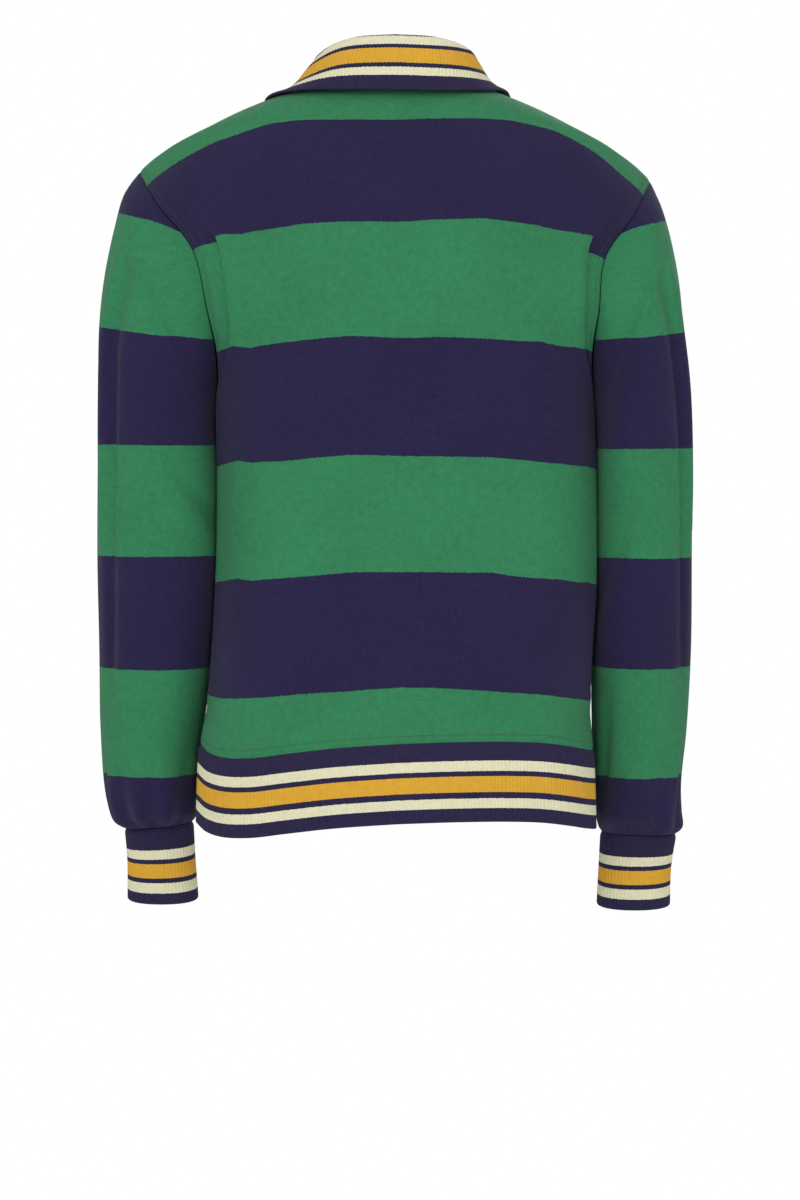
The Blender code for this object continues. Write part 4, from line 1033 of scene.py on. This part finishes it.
def sleeve_cloth(grid, steps, side):
    """The cloth map of a sleeve: round it, and up it by hoops that slant towards the armpit."""
    rows, columns = grid.shape[:2]
    arm = [read(SLEEVE, "step", max(step, 1.0)) for step in steps]
    slope = np.array([lean(SLEEVE, max(step, 1.0)) for step in steps])[:, None]
    middle = np.array([row["mid_y"] for row in arm])[:, None]
    outward = side * grid[..., 0]
    inside = np.maximum(outward.max(axis=1, keepdims=True) - outward, 0)
    level = grid[..., 2] + LEAN_SHARE * slope * (grid[..., 1] - middle)
    near = middle + np.abs(grid[..., 1] - middle)
    level = CAMERA_HEIGHT + (level - CAMERA_HEIGHT) / (1 - near / CAMERA_AWAY)
    slant = np.clip((level - SLANT_FROM) / (SLANT_TO - SLANT_FROM), 0, STEEPEST) ** SLANT_POWER
    level = level + slant * (SLANT_ACROSS * inside + SLANT_CURVE * inside**2)
    up = np.interp(level, HOOP_LEVELS[side], LEVEL_MARKS)
    across = np.broadcast_to(np.arange(columns) / columns * SLEEVE_ROUND, (rows, columns))
    cloth = np.stack([across, up], axis=2)
    seam = cloth[:, :1].copy()
    seam[..., 0] = SLEEVE_ROUND
    return np.concatenate([cloth, seam], axis=1)


def armhole_line(side):
    """The armhole from the shoulder's tip down the back to the underarm, and up the front."""
    first = len(WEFTS) - SHOULDER_ROWS - 1 - ARMHOLE_ROWS
    rows = slice(first, first + ARMHOLE_ROWS + 1)
    back_edge = back_points[rows, 0 if side > 0 else -1]
    front_edge = front_points[rows, -1 if side > 0 else 0]
    return np.concatenate([back_edge[::-1], front_edge[1:-1]])


def add_sleeve(name, side):
    """A sleeve whose rows go up and whose columns go to the right as seen from outside."""
    grid, steps = sleeve_rings(side, armhole_line(side))
    turn = np.arange(grid.shape[1]) / grid.shape[1]
    if side < 0:
        grid, turn = grid[:, ::-1], turn[::-1]
    grid, steps = grid[::-1], steps[::-1]
    cloth = sleeve_cloth(grid, steps, side)
    points = sleeve_folds(grid, steps, turn, side)
    made = shell(name, *sewn(points, closed=True), cloth, True, HOOPED)
    print(name, len(made.data.polygons), "faces")
    return made


left_sleeve, right_sleeve = add_sleeve("left_sleeve", 1), add_sleeve("right_sleeve", -1)

# %% [markdown]
# ## Ribs
# Rib knitting is a row of rounded columns with valleys between them, at 3.1 to 3.4 mm a rib here. That
# is coarse enough to catch the light and to show at the edge, so the ribs are real relief. Four
# columns of points make one rib: the valley, a flank, the crest and the other flank.

# %% Knit the hem band
RIB_CLOTH = 0.0019
RIB_LIFT = 0.0007
RIB_SHARP = 80  # degrees; a smaller angle between two faces is smoothed over
RIB_SHAPE = np.array([0.0, 0.72, 1.0, 0.72])  # heights of a valley, a flank, a crest and a flank
EDGE_ROWS, SEAM_ROWS = (0, 0.0004, 0.0011, 0.0020), (0.0030, 0.0018, 0.0009, 0)  # distances of the rows there
EVEN_ROWS = (0.0030, 0.0045)  # distances from the edge and from the seam where evenly spaced rows start
EDGE_ROUND, EDGE_TURN, EDGE_THINNER = 0.0016, 0.0009, 0.0008  # how high and how far a free edge rounds off
SEAM_FLAT, SEAM_SHARE = 0.0040, 0.35  # ribs are pressed flat this near a seam, to this share
HEM_ROWS, CUFF_ROWS = 24, 20
HEM_RIBS_HALF = 72  # ribs in half of the back, and as many in half of the front
HEM_HEIGHT = 0.070


def around_body(weft, count):
    """One level of the body as a ring of points that goes to the right as seen from outside."""
    shares = np.arange(count + 1) / count
    back_left, back_right = (half_row(weft, side, False, shares) for side in (1, -1))
    front_left, front_right = (half_row(weft, side, True, shares) for side in (1, -1))
    return np.concatenate([back_left[::-1][:-1], back_right[:-1], front_right[::-1][:-1], front_left[:-1]])


def rib_rows(height, rows):
    """Heights of the rows of a band: closer together at its free edge and at its seam."""
    inner = np.linspace(EVEN_ROWS[0], height - EVEN_ROWS[1], rows)
    return np.concatenate([EDGE_ROWS, inner, height - np.array(SEAM_ROWS)])


def free_edge(heights):
    """1 at a band's free edge, falling to 0 where its rounding ends."""
    return (1 - np.clip(heights / EDGE_ROUND, 0, 1)) ** 2


def ribbed(points, heights):
    """The outer and inner grids of a ribbed band whose rows start at the free edge."""
    normals = normals_of(points, closed=True)
    ribs = RIB_SHAPE[np.arange(points.shape[1]) % 4][None, :]
    to_seam = (heights[-1] - heights)[:, None]
    edge = free_edge(heights)[:, None]
    swell = SEAM_SHARE + (1 - SEAM_SHARE) * smooth_step(to_seam / SEAM_FLAT)
    lift = RIB_LIFT * ribs * swell - EDGE_TURN * edge + groove(to_seam)
    outer = points + lift[..., None] * normals
    inner = points - (RIB_CLOTH - EDGE_THINNER * edge - np.minimum(lift, 0))[..., None] * normals
    return outer, inner


def band_cloth(points, heights):
    """The cloth map of a closed band: round it, and up from its free edge."""
    around = lengths_along(np.concatenate([points[-1], points[-1, :1]]))
    return np.stack(np.meshgrid(around, heights), axis=2)


hem_heights = rib_rows(HEM_HEIGHT, HEM_ROWS)
hem_points = np.array([around_body(height - HEM_HEIGHT, 4 * HEM_RIBS_HALF) for height in hem_heights])
hem_cloth = band_cloth(hem_points, hem_heights)
hem = shell("hem_rib_band", *ribbed(hem_points, hem_heights), hem_cloth, True, HEM_RIB, sharp=RIB_SHARP)
print("hem band", 4 * HEM_RIBS_HALF, "ribs", len(hem.data.polygons), "faces")

# %% [markdown]
# ## The cuffs
# A cuff is the same rib on a smaller ring. It starts from the last ring of its sleeve, which both
# share, and narrows slightly towards the wrist. The left one is sewn on a little higher, as the
# picture shows.

# %% Knit the cuffs
CUFF_RIBS = 58
CUFF_HEIGHT = 0.0655


def add_cuff(name, side):
    """A cuff from the last ring of its sleeve down to the wrist."""
    shares = np.arange(4 * CUFF_RIBS) / (4 * CUFF_RIBS)
    knots = [ring_of_arm(SLEEVE, SLEEVE["step"][-1], side, shares)]
    knots += [ring_of_arm(CUFF, step, side, shares) for step in CUFF["step"][1:]]
    heights = rib_rows(CUFF_HEIGHT, CUFF_ROWS)
    places = CUFF["step"][-1] * (1 - heights / CUFF_HEIGHT)
    points = spline(CUFF["step"], np.array(knots), places)
    if side < 0:
        points = points[:, ::-1]
    return shell(name, *ribbed(points, heights), band_cloth(points, heights), True, CUFF_RIB, sharp=RIB_SHARP)


left_cuff, right_cuff = add_cuff("left_cuff_rib", 1), add_cuff("right_cuff_rib", -1)
print("cuffs", CUFF_RIBS, "ribs each")

# %% [markdown]
# ## The collar
# A knitted collar is one strip of ribs. Its lower edge is sewn to the neck, it stands up against the
# neck, folds over and lies down on the shirt. So the grid runs up the stand, round a small half
# circle for the fold, and down the leaf, along every one of 560 columns round the neck.

# %% Write down the collar's sections
COLLAR = table("""
share fold_y fold_z edge_y left_fold left_x  left_z left_bulge right_fold right_x right_z right_bulge
    0 0.0655 0.0398  0.085         0      0 -0.0118      0.002          0       0 -0.0118       0.002
 0.16   0.06 0.0383   0.08    0.0325  0.044  -0.011     0.0005     0.0345   0.041 -0.0119       0.001
 0.32   0.04  0.033  0.056    0.0565  0.087  -0.009    -0.0045     0.0605   0.079  -0.009      -0.002
 0.47  0.006  0.025  0.008      0.07  0.115  -0.009    -0.0064     0.0705  0.1015  -0.005     -0.0045
 0.64 -0.038  0.008  -0.05    0.0705 0.1145  -0.023     -0.006     0.0665   0.102  -0.024      -0.004
 0.82 -0.074  -0.03 -0.096     0.048  0.092  -0.062     -0.002     0.0465    0.08  -0.064      -0.002
    1 -0.096 -0.064 -0.118     0.004 0.0435  -0.106          0      0.004  0.0405  -0.108           0
""")
LEAF_BEND = 0.6  # share of the leaf's width, from the fold, at which it bulges most
FOLD_RADIUS = 0.0026  # under the collar's fold
EDGE_CROWDING = 1.15  # above 1, the leaf's rows stand closer together near its edge
COLLAR_GAP = 0.0016  # between the ends of the collar's neck seam, half of it on each side
print(len(COLLAR["share"]), "sections of the collar")


# %% [markdown]
# ## How the collar folds
# Each column is one line in three parts. The table says where the fold and the leaf's edge are, and a
# bulge lets the leaf curve as it lies over the shoulder. As on real ribs, the columns spread towards
# the leaf's edge, which is longer than the neck seam.

# %% Fold the collar over
COLLAR_COLUMNS = 560
LEAF_ROWS, STAND_ROWS, FOLD_ROWS = 30, 12, 9
UNDER_TURN = 0.0006  # how far the underside turns in at the leaf's edge
LEAF_CURVE = math.log(0.5) / math.log(LEAF_BEND)  # puts the middle of a sine at the leaf's bend


def neck_line():
    """The neck seam from the front on the wearer's left, round the back, to the front on the right."""
    middle = front_points.shape[1] // 2
    left, right = front_points[-1, middle:].copy(), front_points[-1, : middle + 1].copy()
    left[0] += 0.5 * COLLAR_GAP * unit(left[1] - left[0])
    right[-1] += 0.5 * COLLAR_GAP * unit(right[-2] - right[-1])
    return np.concatenate([left, back_points[-1, 1:-1], right])


def collar_column(start, share, side):
    """One column of the collar's underside: up the stand, over the fold and down the leaf."""
    row = read(COLLAR, "share", share)
    name = "left" if side > 0 else "right"
    fold = np.array([side * row[name + "_fold"], row["fold_y"], row["fold_z"]])
    edge = np.array([side * row[name + "_x"], row["edge_y"], row[name + "_z"]])
    out = unit(np.array([edge[0] - fold[0], edge[1] - fold[1], 0.0]))
    centre = fold - np.array([0, 0, RIB_CLOTH + FOLD_RADIUS])
    rise = centre - FOLD_RADIUS * out - start
    stand = [start + t * rise for t in np.linspace(0, 1, STAND_ROWS, endpoint=False)]
    turns = np.linspace(math.pi, 0, FOLD_ROWS)
    bend = [centre + FOLD_RADIUS * (math.cos(a) * out + math.sin(a) * np.array([0, 0, 1])) for a in turns]
    way = edge - bend[-1]
    across = row[name + "_bulge"] * unit(float(way @ out) * np.array([0, 0, 1.0]) - way[2] * out)
    down = 1 - (1 - np.linspace(0, 1, LEAF_ROWS + 1)[1:]) ** EDGE_CROWDING
    leaf = [bend[-1] + t * way + math.sin(math.pi * t**LEAF_CURVE) * across for t in down]
    return np.array(stand + bend + leaf)


def collar_grid():
    seam = neck_line()
    along = lengths_along(seam)
    middle = along[int(np.argmin(np.abs(seam[:, 0]) + 10 * (seam[:, 1] < 0)))]
    places = divide(seam, np.linspace(0, 1, COLLAR_COLUMNS + 1))
    columns = []
    for place, start in zip(np.linspace(0, along[-1], COLLAR_COLUMNS + 1), places, strict=True):
        side = 1 if place < middle else -1
        half = middle if side > 0 else along[-1] - middle
        columns.append(collar_column(start, min(abs(place - middle) / half, 1.0), side))
    return np.array(columns).transpose(1, 0, 2)


def collar_maps(points):
    """The collar's cloth map: along its edge, and the distance back up the leaf from its edge."""
    along = lengths_along(points[-1])
    up = lengths_along(points[::-1])[::-1]
    return np.stack([np.broadcast_to(along, up.shape), up], axis=2)


collar_points = collar_grid()
collar_cloth = collar_maps(collar_points)
inward = -normals_of(collar_points)
to_edge = collar_cloth[..., 1]
ribs = RIB_SHAPE[np.arange(COLLAR_COLUMNS + 1) % 4][None, :]
edge_turn = free_edge(to_edge)
worn_side = collar_points + (RIB_CLOTH + RIB_LIFT * ribs - EDGE_TURN * edge_turn)[..., None] * inward
shirt_side = collar_points + (UNDER_TURN * edge_turn)[..., None] * inward
grids = (grid[:, ::-1] for grid in (worn_side, shirt_side, collar_cloth))
collar = shell("collar_rib", *grids, False, COLLAR_RIB, sharp=RIB_SHARP)
print("collar", COLLAR_COLUMNS // 4, "ribs", len(collar.data.polygons), "faces")

# %% [markdown]
# ## The half placket
# A polo opens at the front over two strips of cloth, the upper one with buttonholes and the under one
# with the buttons. Each is a narrow shell that takes its columns from the front panel, lifted a little,
# so it follows the chest exactly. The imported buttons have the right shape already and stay.

# %% Lay the placket's strips
PLACKET_COLUMNS = 11
MIDDLE_COLUMN = PLACKET_COLUMNS // 2
STRIPS = {"placket_upper": 0.0022, "placket_lower": 0.0001}  # height of each above the front's face


def placket_base():
    """The front between the placket's edges, as rows of evenly spaced points."""
    middle = front_points.shape[1] // 2
    left, centre, right = (front_points[slot[0] :, middle + k] for k in (-1, 0, 1))
    shares = np.linspace(-1, 1, PLACKET_COLUMNS)
    columns = [centre + abs(t) * ((left if t < 0 else right) - centre) for t in shares]
    return np.array(columns).transpose(1, 0, 2)


def add_strip(name, lift):
    base = placket_base()
    points = base + lift * normals_of(base)
    across = np.linspace(-0.5, 0.5, PLACKET_COLUMNS) * PLACKET_WIDTH
    up = lengths_along(base[:, MIDDLE_COLUMN])
    cloth = np.stack(np.meshgrid(across, up), axis=2)
    outer, inner = sewn(points)
    return shell(name, outer, inner, cloth, False, PLAIN_NAVY), outer


(upper_strip, placket_face), (lower_strip, _) = (add_strip(name, lift) for name, lift in STRIPS.items())
print("placket", round(lengths_along(placket_face[:, MIDDLE_COLUMN])[-1] * 1000), "mm long")

# %% [markdown]
# ## The buttons
# Shirt buttons are pressed plastic, navy here, with faint clouds in it and a face dulled by washing.
# The material takes its coordinates from each button's own object, so the clouds stay with the
# button.

# %% Finish the buttons
def button_material():
    """Navy plastic with faint clouds in it and a worn, slightly dull face."""
    made, tree, shader = bare_material("button_plastic", Specular_IOR_Level=0.5)
    place = add_node(tree, "ShaderNodeTexCoord").outputs["Object"]
    clouds = blend(tree, noise(tree, place, 260.0, 3.0), (0.012, 0.011, 0.026, 1), (0.030, 0.026, 0.058, 1))
    tree.links.new(clouds, shader.inputs["Base Color"])
    scuffs = noise(tree, place, 1500.0)
    rough = add_node(tree, "ShaderNodeMapRange", {"Value": scuffs, "To Min": 0.28, "To Max": 0.46})
    tree.links.new(rough.outputs[0], shader.inputs["Roughness"])
    add_bump(tree, shader, scuffs, 0.00008, 0.4)
    return made


PLASTIC = button_material()
BUTTONS = ("button_1", "button_2", "button_3")
for name in BUTTONS:
    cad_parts[name].material_slots[0].material = PLASTIC
print(len(BUTTONS), "buttons")

# %% [markdown]
# ## Stitches
# Topstitching is a line of separate short stitches that each dip into the cloth at both ends. One
# stitch is a bent six-sided tube. Arrays place it again and again along a line on the cloth, and every
# seam's stitches are joined into one mesh, which renders much faster than hundreds of objects.

# %% Sew a line of stitches
THREAD_RADIUS = 0.00028
STITCH_LENGTH, STITCH_PITCH = 0.0023, 0.0032
FIRST_STITCH = 0.3  # share of a pitch before the first stitch
ROUNDS, SIDES = 5, 6  # points along a stitch, and round it
TURNS = np.arange(SIDES) * 2 * math.pi / SIDES


def thread_material():
    """Dark cotton thread, twisted: slanting waves bump it, and the same waves paint its colour lighter and
    darker as painted shade of the plies.
    """
    made, tree, shader = bare_material("sewing_thread", Roughness=0.6, Sheen_Weight=0.15)
    place = add_node(tree, "ShaderNodeTexCoord").outputs["Object"]
    wave = add_node(tree, "ShaderNodeTexWave", {"Vector": place, "Scale": 900.0, "Distortion": 1.0})
    twist = wave.outputs["Fac"]
    # painted shade: the twist's waves blend two dark tones, painting the lit and shaded sides of the plies
    # into the thread's colour
    shade = blend(tree, twist, (0.010, 0.012, 0.020, 1), (0.030, 0.034, 0.052, 1))
    tree.links.new(shade, shader.inputs["Base Color"])
    add_bump(tree, shader, twist, 0.0001, 0.5)
    return made


THREAD = thread_material()


def round_thread(run, out):
    """Directions square to a thread, all round it, at each of its points."""
    side = unit(np.cross(run, out))
    return np.cos(TURNS)[:, None] * side[..., None, :] + np.sin(TURNS)[:, None] * out[..., None, :]


def stitch_tubes(line, normals, closed=False):
    """Points and faces of the stitches along a line that lies on the cloth."""
    if closed:
        line, normals = (np.concatenate([part, part[:1]]) for part in (line, normals))
    along = lengths_along(line)
    count = int(along[-1] / STITCH_PITCH)
    starts = (np.arange(count) + FIRST_STITCH) * along[-1] / count
    t = np.linspace(0, 1, ROUNDS)
    at = starts[:, None] + t * STITCH_LENGTH
    out = unit(pick(at, along, normals))
    spots = pick(at, along, line) + (THREAD_RADIUS * (1.5 * np.sin(math.pi * t) - 0.8))[None, :, None] * out
    girth = (THREAD_RADIUS * (0.55 + 0.45 * np.sin(math.pi * t)))[None, :, None, None]
    tubes = spots[:, :, None] + girth * round_thread(unit(np.gradient(spots, axis=1)), out)
    size = ROUNDS * SIDES
    quads = grid_faces(ROUNDS, SIDES, closed=True)[..., [0, 3, 2, 1]].reshape(-1, 4)
    faces = (quads + size * np.arange(count)[:, None, None]).reshape(-1, 4).tolist()
    for first in range(0, count * size, size):
        faces.append(list(range(first, first + SIDES)))
        faces.append(list(range(first + size - 1, first + size - 1 - SIDES, -1)))
    return tubes.reshape(-1, 3), faces


def add_threads(name, parts):
    """One mesh of several lots of thread, each given as its points and faces."""
    points, faces, start = [], [], 0
    for more, quads in parts:
        points.append(more)
        faces += [[start + i for i in face] for face in quads]
        start += len(more)
    print(name, len(faces), "faces")
    return add_mesh(name, np.concatenate(points), faces, THREAD)


def level_on(points, wefts, weft):
    """The points and normals of a panel at one level between its rows."""
    outer, _ = sewn(points)
    k = int(np.searchsorted(wefts, weft)) - 1
    t = (weft - wefts[k]) / (wefts[k + 1] - wefts[k])
    normals = normals_of(outer)
    return (1 - t) * outer[k] + t * outer[k + 1], (1 - t) * normals[k] + t * normals[k + 1]


def beside_edge(points, distance, rows, last):
    """The points and normals of a panel at a distance from one side edge, over some rows."""
    outer, _ = sewn(points)
    normals = normals_of(outer)
    if last:
        outer, normals = outer[:, ::-1], normals[:, ::-1]
    pairs = [[pick(distance, lengths_along(outer[r]), grid[r]) for grid in (outer, normals)] for r in rows]
    line, out = (np.array(part) for part in zip(*pairs, strict=True))
    return line, unit(out)


print("stitch helpers ready")

# %% [markdown]
# ## Where the stitches run
# A maker topstitches the seams that carry load: above the hem band, on the body beside each armhole,
# and along the placket, whose foot is sewn down across. Each line is found on the finished outer
# face, so the stitches sit on the cloth and follow its folds.

# %% Topstitch the seams
HEM_STITCH = 0.0064  # above the hem seam
ARMHOLE_STITCH = 0.0080  # beside the armhole seam, on the body
PLACKET_STITCH = 0.0028  # inside the placket's edges
HOLE_PLACES = (0.016, 0.070, 0.124)  # distance of each buttonhole below the neck seam
HOLE_LENGTH, HOLE_WIDTH = 0.0135, 0.0026


def hem_line():
    """The line of stitches round the hem, on both panels."""
    rows = [level_on(points, WEFTS, HEM_STITCH) for points in (back_points, front_points)]
    return [np.concatenate([back, front[1:-1]]) for back, front in zip(*rows, strict=True)]


def armhole_lines():
    first = len(WEFTS) - SHOULDER_ROWS - 1 - ARMHOLE_ROWS
    rows = range(first, first + ARMHOLE_ROWS + 1)
    grids = (back_points, front_points)
    return [beside_edge(points, ARMHOLE_STITCH, rows, last) for points in grids for last in (False, True)]


def placket_lines():
    """Down one side of the upper strip, along its foot and up the other side."""
    grids = placket_face, normals_of(placket_face)
    low = int(np.searchsorted(lengths_along(placket_face[:, MIDDLE_COLUMN]), PLACKET_STITCH))
    k, t = divmod(PLACKET_STITCH / PLACKET_WIDTH * (PLACKET_COLUMNS - 1), 1)
    k, last = int(k), PLACKET_COLUMNS - 1 - int(k)
    pairs = (k, k + 1), (last, last - 1)
    sides = [[(1 - t) * grid[low:, c] + t * grid[low:, d] for grid in grids] for c, d in pairs]
    return [*sides, [grid[low, k + 1 : last] for grid in grids]]


hem_stitches = add_threads("hem_topstitch", [stitch_tubes(*hem_line(), closed=True)])
arm_stitches = add_threads("armhole_topstitch", [stitch_tubes(*line) for line in armhole_lines()])
strip_stitches = add_threads("placket_topstitch", [stitch_tubes(*line) for line in placket_lines()])

# %% [markdown]
# ## Buttonholes
# A buttonhole is a slit with dense stitches all round, which look like a rough cord laid in a long
# oval. Two ovals, one inside the other, give the stitched edge and the lips of the slit. Two small
# loops cross each button between its holes, because that is how it is sewn on.

# %% Work the buttonholes and the thread of the buttons
RING_POINTS, RING_WAVES, WAVE_SIZE = 48, 24, 0.25  # points round a buttonhole, and the lumps of its stitches
HOLE_THREAD, HOLE_LIFT = 0.00045, 0.0001
BUTTON_LOOP = (0.0030, 0.0004, 0.0002)  # length, width and thickness of a loop through two holes
LOOPS_AT, LOOP_LIFT = (-0.0014, 0.0014), 0.0004
UP_STEP = 0.004  # distance over which the upward direction is measured


def oval(centre, up, across, out, length, width, thickness):
    """A closed ring of thread round a buttonhole, as points and faces."""
    turns = np.linspace(0, 2 * math.pi, RING_POINTS + 1)[:-1, None]
    path = centre + 0.5 * length * np.sin(turns) * up + 0.5 * width * np.cos(turns) * across
    run = unit(np.roll(path, -1, axis=0) - np.roll(path, 1, axis=0))
    girth = thickness * (1 + WAVE_SIZE * np.cos(RING_WAVES * turns))[..., None]
    tube = (path[:, None] + girth * round_thread(run, out)).reshape(-1, 3)
    r, s = np.meshgrid(np.arange(RING_POINTS), np.arange(SIDES), indexing="ij")
    on, beside = (r + 1) % RING_POINTS, (s + 1) % SIDES
    corners = [r * SIDES + s, r * SIDES + beside, on * SIDES + beside, on * SIDES + s]
    return tube, np.stack(corners, axis=2).reshape(-1, 4).tolist()


def placket_spot(distance):
    """Centre, upward, sideways and outward directions on the placket, this far below the neck."""
    middle, out = (grid[::-1, MIDDLE_COLUMN] for grid in (placket_face, normals_of(placket_face)))
    along = lengths_along(middle)
    centre, above = (pick(place, along, middle) for place in (distance, distance - UP_STEP))
    up, axis = unit(above - centre), unit(pick(distance, along, out))
    return centre, up, unit(np.cross(up, axis)), axis


def buttonholes():
    rings = []
    for place in HOLE_PLACES:
        centre, up, across, out = placket_spot(place)
        for wide in (HOLE_WIDTH, 0.4 * HOLE_WIDTH):
            rings.append(oval(centre + HOLE_LIFT * out, up, across, out, HOLE_LENGTH, wide, HOLE_THREAD))
    return rings


def button_threads():
    """Two loops of thread through the four holes of each button."""
    rings = []
    for name, place in zip(BUTTONS, HOLE_PLACES, strict=True):
        low, high = (np.array(corner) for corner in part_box(name))
        _, up, across, out = placket_spot(place)
        for x in LOOPS_AT:
            rings.append(oval((low + high) / 2 + x * across + LOOP_LIFT * out, up, across, out, *BUTTON_LOOP))
    return rings


hole_thread = add_threads("buttonhole_thread", buttonholes())
button_thread = add_threads("button_thread", button_threads())
print(len(HOLE_PLACES), "buttonholes")

# %% [markdown]
# ## Tie the pieces to the imported shirt
# Every piece rides on the shirt's one body, and the imported node that it stands for is hidden. The table
# also lists each piece's finish, how it is held and the flat size that its pattern was cut to, all
# round on a tube. The area is what the outline encloses, and it is printed beside the shell's own
# area, so that the two can be compared.

PIECES = [  # piece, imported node, finish, how it is held, width and length of the flat cut, area if not w x l
    (back, "back", "hooped_jersey", "hung", (0.475, 0.630), 0.245),
    (front, "front", "hooped_jersey", "hung", (0.475, 0.610), 0.245),
    (left_sleeve, "sleeve_left", "hooped_jersey", "hung", (0.420, 0.620), 0.200),
    (right_sleeve, "sleeve_right", "hooped_jersey", "hung", (0.420, 0.620), 0.190),
    (hem, "hem_band", "rib_knit", "stretched", (0.960, 0.070), None),
    (left_cuff, "cuff_left", "rib_knit", "stretched", (0.165, 0.065), None),
    (right_cuff, "cuff_right", "rib_knit", "stretched", (0.165, 0.065), None),
    (collar, "collar", "rib_knit", "folded", (0.470, 0.095), None),
    (upper_strip, "placket_top", "placket_jersey", "laid", (0.034, 0.150), None),
    (lower_strip, "placket_under", "placket_jersey", "laid", (0.034, 0.150), None),
]
TRIM = [hem_stitches, arm_stitches, strip_stitches, hole_thread, button_thread]


def cloth_area(piece):
    """Half the surface of a thin closed shell, which is the area of its cloth."""
    return sum(face.area for face in piece.data.polygons) / 2


for piece, node, finish, held, size, area in PIECES:
    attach(piece, "root")
    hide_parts(node)
    print(piece.name, "cloth", round(cloth_area(piece), 4), "cut", round(area or size[0] * size[1], 4), "m2")
for piece in TRIM:
    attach(piece, "root")
